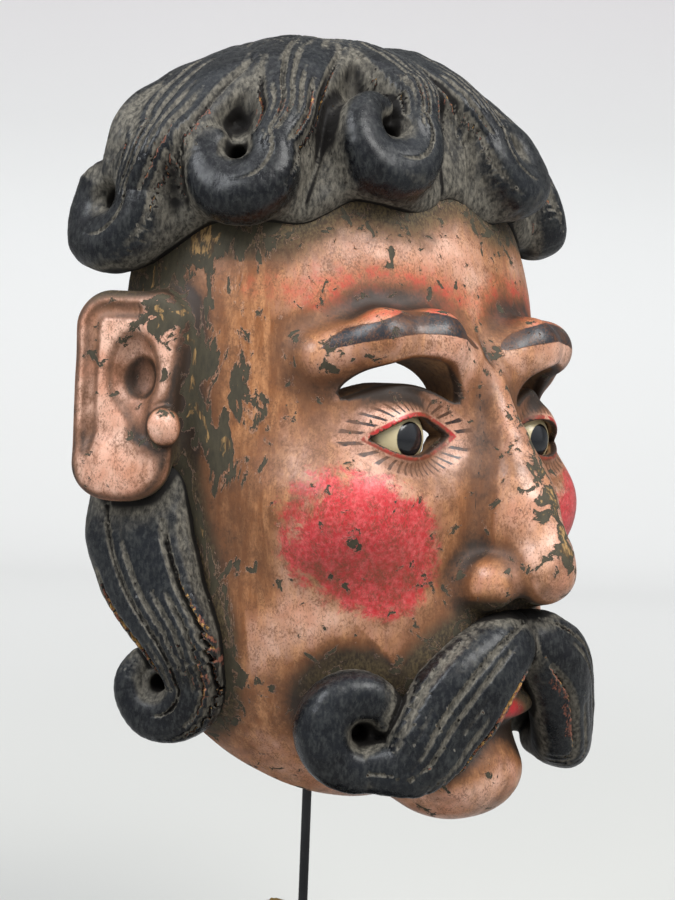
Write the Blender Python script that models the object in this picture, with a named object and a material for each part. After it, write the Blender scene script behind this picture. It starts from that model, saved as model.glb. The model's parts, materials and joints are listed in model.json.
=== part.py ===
"""A carved and painted wooden dance mask, shown on a steel display stand.

The mask faces -Y, X runs across the face (-X is the wearer's right) and Z is up.  The origin is
under the stand, on the axis of its upright rod.  Every length below is in millimetres, and
becomes metres by the one factor MM where a mesh is made.

The face shell is one hollowed block.  The nose, ears, moustache, sideburns, hair crown and hair
locks are separate carved blocks, glued on and pegged from inside.  The eyes are set into the
shell from behind.
"""

import math

import bmesh
import bpy
from mathutils import Matrix, Vector

MM = 0.001
GAP = 0.3  # glue line between blocks, and running gap round moving parts

# The mask: the face from hairline to chin is three equal units, and the crown half a unit more.
MASK_HEIGHT = 250.0
UNIT = MASK_HEIGHT / 3.5
CHIN_Z = 95.0
NOSE_BASE = UNIT
EYE = UNIT * 1.75 - 2
HALF_WIDTH = 82.0
FACE_DEPTH = 72.0
RIM_Y = 10.0
WALL = 9.0

# Features of the face.  Heights are above the chin.
EYE_X = 32.0
EYE_Y = -57.0
EYE_RADIUS = 12.5
LID_RADIUS = 16.0
NOSE_TIP_Y = -107.0
EAR_HALF_HEIGHT = 33.0
EAR_HEIGHT = 133.0
EAR_ROOT = (80.0, -17.0)
EAR_BACK = (98.0, 13.0)
TIE_HEIGHT = 130.0
TIE_Y = 4.0
TIE_HOLE_RADIUS = 2.0
KNOT_X = 82.7
KNOT_RADIUS = 2.6
CORD_RADIUS = 1.4
PEG_RADIUS = 3.0

# The hair crown, and where each lock's volute sits: turned from the front, and height.
CROWN_RADII = (86.0, 63.0, 93.0)
CROWN_FULLNESS = 2.65  # 2 is an ellipsoid, more is boxier
CROWN_CENTRE = (0.0, 3.0, MASK_HEIGHT - 93.0)
SWELL_CENTRE = (62.0, 10.0, 205.0)  # where the crown swells out over each temple
SWELL_RADII = (30.0, 24.0, 27.0)
HAIRLINE_SIDE = 176.0
HAIRLINE_RISE = 19.0  # degrees, from the sides to the forehead
LOCKS = {
    "front": {"turn": 22.0, "height": 212.0, "radius": 10.0, "start": (10.0, 246.0), "swell": 0.0},
    "side": {"turn": 59.0, "height": 202.0, "radius": 10.0, "start": (44.0, 245.0), "swell": 0.0},
    "temple": {"turn": 94.0, "height": 189.0, "radius": 9.5, "start": (82.0, 237.0), "swell": 6.0},
}

# The stand.
FELT_SIZE = 132.0
FELT_THICKNESS = 1.5
PLATE_SIZE = 140.0
PLATE_THICKNESS = 8.0
ROD_RADIUS = 1.6
BORE_RADIUS = ROD_RADIUS + GAP
FLANGE_RADIUS = 16.0
FLANGE_THICKNESS = 3.0
SOCKET_RADIUS = 6.0
SOCKET_HEIGHT = 33.0
COLLAR_RADIUS = 8.0
COLLAR_HEIGHT = 9.0
SCREW_CIRCLE = 11.0
SCREW_RADIUS = 1.3
THUMB_HEAD_RADIUS = 6.0
WIRE_RADIUS = 1.2
SLEEVE_WALL = 1.0
PLATE_BOTTOM = FELT_THICKNESS + GAP
PLATE_TOP = PLATE_BOTTOM + PLATE_THICKNESS
SOCKET_BOTTOM = PLATE_TOP + GAP
SOCKET_TOP = SOCKET_BOTTOM + SOCKET_HEIGHT
COLLAR_BOTTOM = SOCKET_TOP + GAP

SIDES = {"right": -1.0, "left": 1.0}
ROUND = 16  # sides of a small round part


def clear_scene():
    for obj in list(bpy.data.objects):
        bpy.data.objects.remove(obj, do_unlink=True)


def make_materials():
    """Each material's colour, roughness and metallic value, by name."""
    finishes = {
        "flesh_paint": ((0.72, 0.45, 0.31), 0.45, 0.0),
        "hair_paint": ((0.03, 0.035, 0.045), 0.38, 0.0),
        "eye_paint": ((0.75, 0.66, 0.45), 0.25, 0.0),
        "bare_wood": ((0.42, 0.27, 0.15), 0.75, 0.0),
        "cord": ((0.55, 0.47, 0.34), 0.9, 0.0),
        "black_steel": ((0.02, 0.021, 0.023), 0.42, 0.6),
        "brass": ((0.62, 0.45, 0.19), 0.3, 1.0),
        "rubber": ((0.02, 0.02, 0.02), 0.8, 0.0),
        "felt": ((0.04, 0.06, 0.05), 0.95, 0.0),
    }
    made = {}
    for name, (colour, roughness, metallic) in finishes.items():
        material = bpy.data.materials.new(name)
        material.use_nodes = True
        shader = material.node_tree.nodes["Principled BSDF"]
        shader.inputs["Base Color"].default_value = (*colour, 1.0)
        shader.inputs["Roughness"].default_value = roughness
        shader.inputs["Metallic"].default_value = metallic
        made[name] = material
    return made


def above_chin(x, y, height):
    return Vector((x, y, CHIN_Z + height))


# --- Shapes in bmesh -------------------------------------------------------------------------


def add_lump(bm, centre, radii, detail=3):
    """An ellipsoid."""
    place = Matrix.Translation(centre) @ Matrix.Diagonal((*radii, 1.0))
    bmesh.ops.create_icosphere(bm, subdivisions=detail, radius=1.0, matrix=place)


def add_box(bm, low, high):
    low, high = Vector(low), Vector(high)
    place = Matrix.Translation((low + high) / 2) @ Matrix.Diagonal((*(high - low), 1.0))
    bmesh.ops.create_cube(bm, size=1.0, matrix=place)


def add_rod(bm, start, end, radius, sides=ROUND):
    """A straight round bar between two points."""
    start, end = Vector(start), Vector(end)
    along = end - start
    turn = along.to_track_quat("Z", "Y").to_matrix().to_4x4()
    place = Matrix.Translation((start + end) / 2) @ turn
    bmesh.ops.create_cone(
        bm,
        cap_ends=True,
        segments=sides,
        radius1=radius,
        radius2=radius,
        depth=along.length,
        matrix=place,
    )


def add_turned(bm, outline, centre, axis=(0, 0, 1), sides=24):
    """A turned part: its outline of (radius, height) points, closed on itself, spun round axis."""
    turn = Vector(axis).to_track_quat("Z", "Y").to_matrix().to_4x4()
    place = Matrix.Translation(centre) @ turn
    rings = []
    for radius, height in outline:
        ring = []
        for i in range(sides):
            angle = 2 * math.pi * i / sides
            point = Vector((radius * math.cos(angle), radius * math.sin(angle), height))
            ring.append(bm.verts.new(place @ point))
        rings.append(ring)
    for k, ring in enumerate(rings):
        above = rings[(k + 1) % len(rings)]
        for i in range(sides):
            j = (i + 1) % sides
            bm.faces.new((ring[i], ring[j], above[j], above[i]))


def add_sweep(bm, path, normals, widths, heights, sides=10):
    """A closed bar along path.  Its section is an ellipse, flat side along the normals."""
    rings = []
    for k, point in enumerate(path):
        before, after = path[max(k - 1, 0)], path[min(k + 1, len(path) - 1)]
        tangent = (after - before).normalized()
        across = tangent.cross(normals[k]).normalized()
        out = across.cross(tangent)
        ring = []
        for i in range(sides):
            angle = 2 * math.pi * i / sides
            offset = across * widths[k] * math.cos(angle) + out * heights[k] * math.sin(angle)
            ring.append(bm.verts.new(point + offset))
        rings.append(ring)
    for ring, following in zip(rings, rings[1:]):
        for i in range(sides):
            j = (i + 1) % sides
            bm.faces.new((ring[i], ring[j], following[j], following[i]))
    bm.faces.new(rings[0])
    bm.faces.new(rings[-1])


def add_round_sweep(bm, path, radius, sides=ROUND):
    """A bent wire.  radius is one number, or one for each point of the path."""
    radii = radius if isinstance(radius, list) else [radius] * len(path)
    start = (path[1] - path[0]).normalized()
    normal = start.orthogonal().normalized()
    normals = []
    for before, after in zip(path, path[1:]):
        tangent = (after - before).normalized()
        normal = (normal - tangent * normal.dot(tangent)).normalized()
        normals.append(normal)
    normals.append(normal)
    add_sweep(bm, path, normals, radii, radii, sides)


def add_prism(bm, outline, y_front, y_back):
    """A flat (x, z) outline, extruded from y_front to y_back."""
    front = [bm.verts.new((x, y_front, z)) for x, z in outline]
    face = bm.faces.new(front)
    pushed = bmesh.ops.extrude_face_region(bm, geom=[face])["geom"]
    moved = [v for v in pushed if isinstance(v, bmesh.types.BMVert)]
    bmesh.ops.translate(bm, verts=moved, vec=(0, y_back - y_front, 0))


def smooth_path(points, steps=6):
    """A Catmull-Rom curve through points, with steps segments between neighbours."""
    points = [Vector(p) for p in points]
    ends = [2 * points[0] - points[1], *points, 2 * points[-1] - points[-2]]
    path = []
    for a, b, c, d in zip(ends, ends[1:], ends[2:], ends[3:]):
        for i in range(steps):
            t = i / steps
            bend = (2 * a - 5 * b + 4 * c - d) * t * t + (3 * b - a - 3 * c + d) * t * t * t
            path.append((2 * b + (c - a) * t + bend) / 2)
    path.append(points[-1])
    return path


def spread(values, count):
    """count numbers that run evenly through values."""
    made = []
    for i in range(count):
        place = i * (len(values) - 1) / (count - 1)
        low = min(int(place), len(values) - 2)
        made.append(values[low] + (values[low + 1] - values[low]) * (place - low))
    return made


# --- Objects and modifiers -------------------------------------------------------------------


def make_object(name, bm, material=None, origin=(0, 0, 0)):
    """An object whose origin is at origin, from a bmesh in millimetres."""
    bmesh.ops.recalc_face_normals(bm, faces=bm.faces)
    bmesh.ops.translate(bm, verts=bm.verts, vec=-Vector(origin))
    bmesh.ops.scale(bm, verts=bm.verts, vec=(MM, MM, MM))
    mesh = bpy.data.meshes.new(name)
    bm.to_mesh(mesh)
    bm.free()
    mesh.shade_smooth()
    mesh.set_sharp_from_angle(angle=math.radians(40))
    obj = bpy.data.objects.new(name, mesh)
    obj.location = Vector(origin) * MM
    bpy.context.scene.collection.objects.link(obj)
    if material:
        mesh.materials.append(material)
    return obj


def make_helper(name, bm):
    """A cutter or a form that isn't part of the object."""
    obj = make_object(name, bm)
    obj.hide_render = True
    obj.display_type = "WIRE"
    return obj


def carve(obj, voxel, faces, rounds=4):
    """Blends overlapping shapes into one skin, softens it and thins it to about this many faces."""
    remesh = obj.modifiers.new("blend", "REMESH")
    remesh.mode = "VOXEL"
    remesh.voxel_size = voxel * MM
    smooth = obj.modifiers.new("soften", "SMOOTH")
    smooth.factor = 0.5
    smooth.iterations = rounds
    graph = bpy.context.evaluated_depsgraph_get()
    skin = bpy.data.meshes.new_from_object(obj.evaluated_get(graph))
    thin = obj.modifiers.new("thin", "DECIMATE")
    thin.ratio = min(1.0, faces / (2 * len(skin.polygons)))
    bpy.data.meshes.remove(skin)


def bake(obj):
    """Applies obj's modifiers to its mesh."""
    bpy.context.view_layer.update()
    graph = bpy.context.evaluated_depsgraph_get()
    mesh = bpy.data.meshes.new_from_object(obj.evaluated_get(graph))
    obj.modifiers.clear()
    obj.data = mesh


def grown_copy(obj, gap=GAP):
    """A cutter in obj's shape, larger by gap all round."""
    copy = bpy.data.objects.new(obj.name + "_cutter", obj.data)
    copy.location = obj.location
    bpy.context.scene.collection.objects.link(copy)
    copy.hide_render = True
    copy.display_type = "WIRE"
    grow = copy.modifiers.new("grow", "DISPLACE")
    grow.strength = gap * MM
    grow.mid_level = 0.0
    return copy


def cut(obj, *cutters):
    for cutter in cutters:
        modifier = obj.modifiers.new("cut_by_" + cutter.name, "BOOLEAN")
        modifier.operation = "DIFFERENCE"
        modifier.object = cutter


def make_empty(name, place):
    empty = bpy.data.objects.new(name, None)
    empty.location = Vector(place) * MM
    bpy.context.scene.collection.objects.link(empty)
    return empty


def put_under(parent, children):
    """Parents children to an empty and leaves them where they are."""
    bpy.context.view_layer.update()
    for child in children:
        child.parent = parent
        child.matrix_parent_inverse = parent.matrix_world.inverted()


# --- The face shell --------------------------------------------------------------------------


def make_head_form():
    """The solid outside shape of the face, before it is hollowed: lumps blended into one skin."""
    bm = bmesh.new()
    add_lump(bm, above_chin(0, 3, 150), (HALF_WIDTH, 67, 94), 4)
    add_lump(bm, above_chin(0, -12, 100), (69, 70, 75), 4)
    add_lump(bm, above_chin(0, -11, 62), (66, 62, 62), 4)
    add_lump(bm, above_chin(0, -61, 21), (29, 26, 22))
    add_lump(bm, above_chin(0, -59, 51), (36, 28, 28))
    for side in SIDES.values():
        add_lump(bm, above_chin(side * 40, -43, 99), (30, 29, 23))
        add_lump(bm, above_chin(side * 25, -57, 151), (30, 20, 11))
        add_lump(bm, above_chin(side * EYE_X, EYE_Y, EYE), (LID_RADIUS, LID_RADIUS, LID_RADIUS))
    form = make_helper("head_form", bm)
    carve(form, 3.0, 2200, 12)
    bake(form)
    return form


def make_hollow():
    """The space for the wearer's face, open at the back."""
    bm = bmesh.new()
    add_lump(bm, above_chin(0, 2, 148), (HALF_WIDTH - WALL, 58, 86), 4)
    add_lump(bm, above_chin(0, -10, 98), (60, 61, 68), 4)
    add_lump(bm, above_chin(0, -9, 64), (56, 53, 54), 4)
    hollow = make_helper("hollow", bm)
    carve(hollow, 4.0, 700)
    bake(hollow)
    return hollow


def make_trim():
    """What is sawn off behind the flat back rim, and the slope behind the jaw, under the throat."""
    far = 2 * MASK_HEIGHT
    bm = bmesh.new()
    add_box(bm, (-far, RIM_Y, -far), (far, far, far + CHIN_Z))
    back = make_helper("back_trim", bm)
    throat_top = above_chin(0, RIM_Y, 34)
    throat_front = above_chin(0, -34, -1)
    bm = bmesh.new()
    outline = [throat_top, throat_front, throat_front + Vector((0, 0, -far)), Vector((0, far, -far)),
               Vector((0, far, throat_top.z))]
    near = [bm.verts.new((-far, p.y, p.z)) for p in outline]
    face = bm.faces.new(near)
    pushed = bmesh.ops.extrude_face_region(bm, geom=[face])["geom"]
    moved = [v for v in pushed if isinstance(v, bmesh.types.BMVert)]
    bmesh.ops.translate(bm, verts=moved, vec=(2 * far, 0, 0))
    throat = make_helper("throat_trim", bm)
    return back, throat


def make_eye_cutters(name, side):
    """The seat for the eye, open behind, the almond between the lids and the sight slit above."""
    centre = above_chin(side * EYE_X, EYE_Y, EYE)
    bm = bmesh.new()
    add_lump(bm, centre, (EYE_RADIUS + GAP,) * 3)
    seat = make_helper(f"eye_seat_{name}", bm)
    bm = bmesh.new()
    add_rod(bm, centre, centre + Vector((0, 30, 0)), EYE_RADIUS + GAP, 24)
    seat_mouth = make_helper(f"eye_seat_mouth_{name}", bm)

    half_length, upper, lower = 13.5, 6.2, 4.8
    outline = []
    for i in range(16):
        angle = 2 * math.pi * i / 16
        rise = upper if math.sin(angle) > 0 else lower
        outline.append((centre.x + half_length * math.cos(angle), centre.z + rise * math.sin(angle)))
    bm = bmesh.new()
    add_prism(bm, outline, -FACE_DEPTH - 20, EYE_Y)
    almond = make_helper(f"almond_{name}", bm)

    near, far, steps = LID_RADIUS + 1.0, LID_RADIUS + 8.0, 9
    turns = [math.radians(42 + 96 * i / steps) for i in range(steps + 1)]
    lower_edge = [(near * math.cos(t), near * math.sin(t)) for t in turns]
    upper_edge = [(far * math.cos(t), far * math.sin(t) - 1.0) for t in reversed(turns)]
    outline = [(centre.x + x, centre.z + z) for x, z in lower_edge + upper_edge]
    bm = bmesh.new()
    add_prism(bm, outline, -FACE_DEPTH - 20, EYE_Y + 24)
    slit = make_helper(f"sight_slit_{name}", bm)
    return seat, seat_mouth, almond, slit


def make_eye(name, side, material):
    """An eye block: a ball in front and a flat back, pushed in from inside the shell."""
    centre = above_chin(side * EYE_X, EYE_Y, EYE)
    bm = bmesh.new()
    add_lump(bm, centre, (EYE_RADIUS,) * 3)
    behind = centre + Vector((0, 4, 0))
    bmesh.ops.bisect_plane(
        bm,
        geom=bm.verts[:] + bm.edges[:] + bm.faces[:],
        plane_co=behind,
        plane_no=(0, 1, 0),
        clear_outer=True,
    )
    rim = [e for e in bm.edges if e.is_boundary]
    bmesh.ops.edgeloop_fill(bm, edges=rim)
    return make_object(f"eye_{name}", bm, material, centre)


# --- Pegs and their holes --------------------------------------------------------------------

PEGS = {
    "nose_peg": ((0, -67, 96), (0, -97, 96)),
    "moustache_peg_right": ((-20, -60, 50), (-20, -89, 50)),
    "moustache_peg_left": ((20, -60, 50), (20, -89, 50)),
    "ear_peg_right": ((-69, -12, 131), (-85, -12, 131)),
    "ear_peg_left": ((69, -12, 131), (85, -12, 131)),
    "sideburn_peg_right": ((-52, -10, 74), (-76, -10, 74)),
    "sideburn_peg_left": ((52, -10, 74), (76, -10, 74)),
    "crown_peg_right": ((-20, -8, 225), (-20, -8, 243.5)),
    "crown_peg_left": ((20, -8, 225), (20, -8, 243.5)),
}


def make_peg(name, start, end, material):
    """A whittled peg with a rounded inner end, and the cutter for its hole."""
    start, end = above_chin(*start), above_chin(*end)
    along = (end - start).normalized()
    length = (end - start).length
    bm = bmesh.new()
    outline = [(0.4, 0.0), (PEG_RADIUS * 0.8, 0.3), (PEG_RADIUS, 1.6), (PEG_RADIUS, length - 0.8),
               (PEG_RADIUS * 0.8, length), (0.4, length)]
    add_turned(bm, outline, start, along, 12)
    bmesh.ops.holes_fill(bm, edges=bm.edges)
    bmesh.ops.remove_doubles(bm, verts=bm.verts, dist=0.001)
    peg = make_object(name, bm, material, start)
    bm = bmesh.new()
    add_rod(bm, start - along * 6, end + along * GAP, PEG_RADIUS + GAP, 12)
    return peg, make_helper(name + "_hole", bm)


# --- Applied blocks --------------------------------------------------------------------------


def make_nose(material):
    """The nose block: bridge, ball and wings in one piece, with two drilled nostrils."""
    bm = bmesh.new()
    bridge = smooth_path([above_chin(0, -79, 138), above_chin(0, -87, 122), above_chin(0, -94, 104),
                          above_chin(0, -96, 88)])
    out = [Vector((0, -1, 0))] * len(bridge)
    add_sweep(bm, bridge, out, spread([7, 8, 10, 12], len(bridge)), spread([6, 8, 9, 9], len(bridge)))
    add_lump(bm, above_chin(0, NOSE_TIP_Y + 12, NOSE_BASE + 11), (12, 12, 10))
    for side in SIDES.values():
        add_lump(bm, above_chin(side * 13, -87, NOSE_BASE + 8), (8.5, 11, 9))
    nose = make_object("nose_block", bm, material)
    carve(nose, 2.0, 420)
    bake(nose)
    for name, side in SIDES.items():
        bm = bmesh.new()
        low = above_chin(side * 7.5, -92, NOSE_BASE - 8)
        add_rod(bm, low, low + Vector((0, 3, 15)), 2.6, 10)
        cut(nose, make_helper(f"nostril_{name}", bm))
    return nose


def make_ear(name, side, material):
    """An ear: a slab that flares back from the side wall, with a rim, a hollow and a lobe."""
    root = above_chin(side * EAR_ROOT[0], EAR_ROOT[1], EAR_HEIGHT)
    back = above_chin(side * EAR_BACK[0], EAR_BACK[1], EAR_HEIGHT)
    middle = (root + back) / 2
    across = (back - root).normalized()
    half_width = (back - root).length / 2
    out = Vector((0, 0, 1)).cross(across) * -side
    bm = bmesh.new()
    frame = Matrix((across, out, Vector((0, 0, 1)))).transposed().to_4x4()
    place = Matrix.Translation(middle) @ frame

    def lump(offset, radii):
        shape = Matrix.Translation(offset) @ Matrix.Diagonal((*radii, 1.0))
        bmesh.ops.create_icosphere(bm, subdivisions=3, radius=1.0, matrix=place @ shape)

    lump((2, 0, 9), (half_width - 2, 5.0, EAR_HALF_HEIGHT - 10))
    lump((-1, 0, -12), (half_width - 6, 4.5, EAR_HALF_HEIGHT - 12))
    lump((half_width - 6, 0, 6), (5, 5.0, EAR_HALF_HEIGHT - 12))
    lump((-half_width + 5, -2, -2), (9, 7, 22))
    ear = make_object(f"ear_{name}", bm, material)
    carve(ear, 2.0, 360)
    bake(ear)
    bm = bmesh.new()
    hollow = Matrix.Translation((1, 6, 5)) @ Matrix.Diagonal((8, 6, 15, 1.0))
    bmesh.ops.create_icosphere(bm, subdivisions=2, radius=1.0, matrix=place @ hollow)
    cut(ear, make_helper(f"ear_hollow_{name}", bm))
    return ear


def volute(centre, forward, up, out, radius, turns_from, turns_to, steps=16):
    """Points of a flat spiral that shrinks as it turns, with the outward normal at each point."""
    points = []
    for i in range(steps + 1):
        share = i / steps
        angle = math.radians(turns_from + (turns_to - turns_from) * share)
        r = radius * (1.0 - 0.42 * share * share)
        points.append(centre + (forward * math.cos(angle) + up * math.sin(angle)) * r - out * 3 * share ** 3)
    return points, [out] * len(points)


def make_moustache(name, side, material):
    """Half a moustache: it falls from under the nose and curls up into a volute on the cheek."""
    centre = above_chin(side * 49, -65, 33)
    outward = Vector((side * 0.86, 0.5, 0)).normalized()
    out = Vector((side * 0.5, -0.86, 0)).normalized()
    curl, curl_normals = volute(centre, outward, Vector((0, 0, 1)), out, 13, -95, 205)
    lead = [above_chin(side * 4, -88, 60), above_chin(side * 16, -88, 47), above_chin(side * 32, -81, 29)]
    path = smooth_path([*lead, curl[0]], 5)[:-1]
    normals = [Vector((side * 0.2, -1, 0)).normalized()] * len(path) + curl_normals
    path = path + curl
    widths = spread([9, 13, 14, 12, 9, 8.5, 8, 7.5, 5], len(path))
    heights = spread([7, 9, 9, 9, 8.5, 8, 8, 7, 5], len(path))
    bm = bmesh.new()
    add_sweep(bm, path, normals, widths, heights)
    half = make_object(f"moustache_{name}", bm, material)
    carve(half, 2.2, 400, 3)
    bake(half)
    return half


def make_other_half(name, side):
    """Everything past the middle of the mask, where left and right blocks meet."""
    edges = sorted((side * GAP / 2, -side * 150))
    bm = bmesh.new()
    add_box(bm, (edges[0], -200, CHIN_Z - 10), (edges[1], 100, CHIN_Z + MASK_HEIGHT + 30))
    return make_helper(f"parting_{name}", bm)


def make_sideburn(name, side, material):
    """A lock that falls from under the ear and curls back into a volute behind the jaw."""
    out = Vector((side, -0.35, 0)).normalized()
    backward = Vector((side * 0.35, 1, 0)).normalized()
    centre = above_chin(side * 67, 5, 38)
    curl, curl_normals = volute(centre, -backward, Vector((0, 0, 1)), out, 10, -20, -250)
    lead = [above_chin(side * 76, 0, 89), above_chin(side * 74, -4, 76), above_chin(side * 70, -9, 58)]
    path = smooth_path([*lead, curl[0]], 4)[:-1]
    normals = [out] * len(path) + curl_normals
    path = path + curl
    widths = spread([13, 15, 14, 10, 8, 7.5, 7, 5], len(path))
    heights = spread([8, 9, 9, 9, 8.5, 8, 7.5, 6], len(path))
    bm = bmesh.new()
    add_sweep(bm, path, normals, widths, heights)
    sideburn = make_object(f"sideburn_{name}", bm, material)
    carve(sideburn, 2.2, 360, 3)
    bake(sideburn)
    return sideburn


def on_crown(side, turn, height, lift):
    """A point over the hair crown, turned from the front, with the outward direction there."""
    centre = above_chin(*CROWN_CENTRE)
    rx, ry, rz = CROWN_RADII
    rise = (height - CROWN_CENTRE[2]) / rz
    level = (1 - abs(rise) ** CROWN_FULLNESS) ** (1 / CROWN_FULLNESS)
    angle = math.radians(turn)
    unit = Vector((side * math.sin(angle) * level, -math.cos(angle) * level, rise))
    point = centre + Vector((unit.x * rx, unit.y * ry, unit.z * rz))
    out = Vector((unit.x / rx, unit.y / ry, unit.z / rz)).normalized()
    return point + out * lift, out


def make_crown(material):
    """The cap of hair over the forehead, sawn off along the hairline and at the rim."""
    bm = bmesh.new()
    add_lump(bm, above_chin(*CROWN_CENTRE), CROWN_RADII, 4)
    shoulder = (CROWN_RADII[0] - 3, CROWN_RADII[1] - 3, 50)
    add_lump(bm, above_chin(0, CROWN_CENTRE[1], 190), shoulder, 4)
    for side in SIDES.values():
        add_lump(bm, above_chin(side * SWELL_CENTRE[0], *SWELL_CENTRE[1:]), SWELL_RADII)
    crown = make_object("hair_crown", bm, material)
    carve(crown, 4.0, 700)
    bake(crown)
    far = 2 * MASK_HEIGHT
    bm = bmesh.new()
    add_box(bm, (-far, -far, -far), (far, far, 0))
    below = make_helper("hairline_trim", bm)
    below.rotation_euler = (-math.radians(HAIRLINE_RISE), 0, 0)
    below.location = above_chin(0, 0, HAIRLINE_SIDE) * MM
    return crown, below


def make_lock(name, side_name, side, shape, material):
    """A lock: it falls from the crown in front of its volute, then rolls under, back and up."""
    centre, out = on_crown(side, shape["turn"], shape["height"], 3.0)
    up = (Vector((0, 0, 1)) - out * out.z).normalized()
    forward = out.cross(up) * side
    curl, curl_normals = volute(centre, forward, up, out, shape["radius"], 20, -285)
    start_turn, start_height = shape["start"]
    starts = []
    for share in (0.0, 0.36, 0.7):
        turn = start_turn + (shape["turn"] - 7 - start_turn) * share
        height = start_height + (shape["height"] + 12 - start_height) * share
        lift = 1.5 + (1.5 + shape["swell"]) * share
        starts.append(on_crown(side, turn, height, lift)[0])
    path = smooth_path([*starts, curl[0]], 4)[:-1]
    normals = [on_crown(side, shape["turn"], shape["height"] + 20, 0)[1]] * len(path) + curl_normals
    path = path + curl
    widths = spread([14, 15.5, 14, 11, 9, 8.5, 8, 7.5, 5], len(path))
    heights = spread([5, 6.5, 7.5, 8, 8, 8, 8, 7, 5], len(path))
    bm = bmesh.new()
    add_sweep(bm, path, normals, widths, heights)
    lock = make_object(f"hair_lock_{name}_{side_name}", bm, material)
    carve(lock, 2.2, 340, 3)
    bake(lock)
    return lock


def make_tie(name, side, material):
    """A tie cord: a knot outside the wall, the cord through its hole, and a tail behind the rim."""
    inner = HALF_WIDTH - WALL - 7
    path = smooth_path(
        [
            above_chin(side * (KNOT_X + 2.2), TIE_Y, TIE_HEIGHT),
            above_chin(side * (KNOT_X - 2.0), TIE_Y, TIE_HEIGHT),
            above_chin(side * (inner + 4), TIE_Y, TIE_HEIGHT),
            above_chin(side * (inner - 1), TIE_Y + 4, TIE_HEIGHT - 2),
            above_chin(side * (inner - 3), RIM_Y + 4, TIE_HEIGHT - 10),
            above_chin(side * (inner - 4), RIM_Y + 6, TIE_HEIGHT - 30),
            above_chin(side * (inner - 9), RIM_Y + 5, TIE_HEIGHT - 48),
            above_chin(side * (inner - 13), RIM_Y + 5, TIE_HEIGHT - 62),
        ],
        5,
    )
    radii = [CORD_RADIUS] * len(path)
    for i, point in enumerate(path):
        if abs(point.x) > KNOT_X - 2.2:
            across = (abs(point.x) - KNOT_X) / 2.3
            radii[i] = max(CORD_RADIUS, KNOT_RADIUS * math.sqrt(max(0.0, 1 - across * across)))
    radii[0] = CORD_RADIUS
    radii[-4:-1] = [CORD_RADIUS * 1.7] * 3
    bm = bmesh.new()
    add_round_sweep(bm, path, radii, 8)
    return make_object(f"tie_cord_{name}", bm, material, above_chin(side * HALF_WIDTH, TIE_Y, TIE_HEIGHT))


# --- The stand -------------------------------------------------------------------------------


def make_plate(steel, felt):
    bm = bmesh.new()
    half = PLATE_SIZE / 2
    add_box(bm, (-half, -half, PLATE_BOTTOM), (half, half, PLATE_TOP))
    bmesh.ops.bevel(bm, geom=bm.edges[:], offset=1.2, segments=2, affect="EDGES", profile=0.5)
    plate = make_object("base_plate", bm, steel)
    bm = bmesh.new()
    half = FELT_SIZE / 2
    add_box(bm, (-half, -half, 0), (half, half, FELT_THICKNESS))
    pad = make_object("felt_pad", bm, felt)
    return plate, pad


def make_socket(steel):
    """A flanged tube that the rod stands in.  Its bore is blind, so the rod can't reach the plate."""
    bm = bmesh.new()
    floor = 2.0
    outline = [(0.3, 0), (FLANGE_RADIUS, 0), (FLANGE_RADIUS, FLANGE_THICKNESS - 0.6),
               (FLANGE_RADIUS - 0.6, FLANGE_THICKNESS), (SOCKET_RADIUS + 1, FLANGE_THICKNESS),
               (SOCKET_RADIUS, FLANGE_THICKNESS + 1), (SOCKET_RADIUS, SOCKET_HEIGHT - 0.6),
               (SOCKET_RADIUS - 0.6, SOCKET_HEIGHT), (BORE_RADIUS, SOCKET_HEIGHT), (BORE_RADIUS, floor),
               (0.3, floor)]
    add_turned(bm, outline, (0, 0, SOCKET_BOTTOM))
    return make_object("rod_socket", bm, steel)


def make_flange_screws(material):
    """Four pan-head screws with their holes, on a circle round the socket."""
    length = FLANGE_THICKNESS + 5
    top = SOCKET_BOTTOM + FLANGE_THICKNESS
    screws, holes = [], []
    for i in range(4):
        angle = math.radians(45 + 90 * i)
        x, y = SCREW_CIRCLE * math.cos(angle), SCREW_CIRCLE * math.sin(angle)
        head = [(0.3, -length), (SCREW_RADIUS, -length), (SCREW_RADIUS, GAP), (2.5, GAP), (2.5, 1.2),
                (1.8, 1.9), (0.8, 1.9), (0.8, 1.2), (0.3, 1.2)]
        bm = bmesh.new()
        add_turned(bm, head, (x, y, top), (0, 0, 1), 12)
        bmesh.ops.holes_fill(bm, edges=bm.edges)
        screws.append(make_object(f"flange_screw_{i + 1}", bm, material, (x, y, top)))
        bm = bmesh.new()
        add_rod(bm, (x, y, top - length - GAP), (x, y, top + 5), SCREW_RADIUS + GAP, 12)
        holes.append(make_helper(f"flange_screw_hole_{i + 1}", bm))
    return screws, holes


def make_collar(steel):
    """The shaft collar that rests on the socket and clamps the rod, with its tapped hole."""
    bm = bmesh.new()
    outline = [(BORE_RADIUS, 0), (COLLAR_RADIUS - 0.6, 0), (COLLAR_RADIUS, 0.6),
               (COLLAR_RADIUS, COLLAR_HEIGHT - 0.6), (COLLAR_RADIUS - 0.6, COLLAR_HEIGHT),
               (BORE_RADIUS, COLLAR_HEIGHT)]
    add_turned(bm, outline, (0, 0, COLLAR_BOTTOM))
    collar = make_object("shaft_collar", bm, steel)
    bm = bmesh.new()
    middle = COLLAR_BOTTOM + COLLAR_HEIGHT / 2
    add_rod(bm, (0, 0.5, middle), (0, COLLAR_RADIUS + 5, middle), 2.1, 16)
    cut(collar, make_helper("thumb_screw_hole", bm))
    return collar


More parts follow.
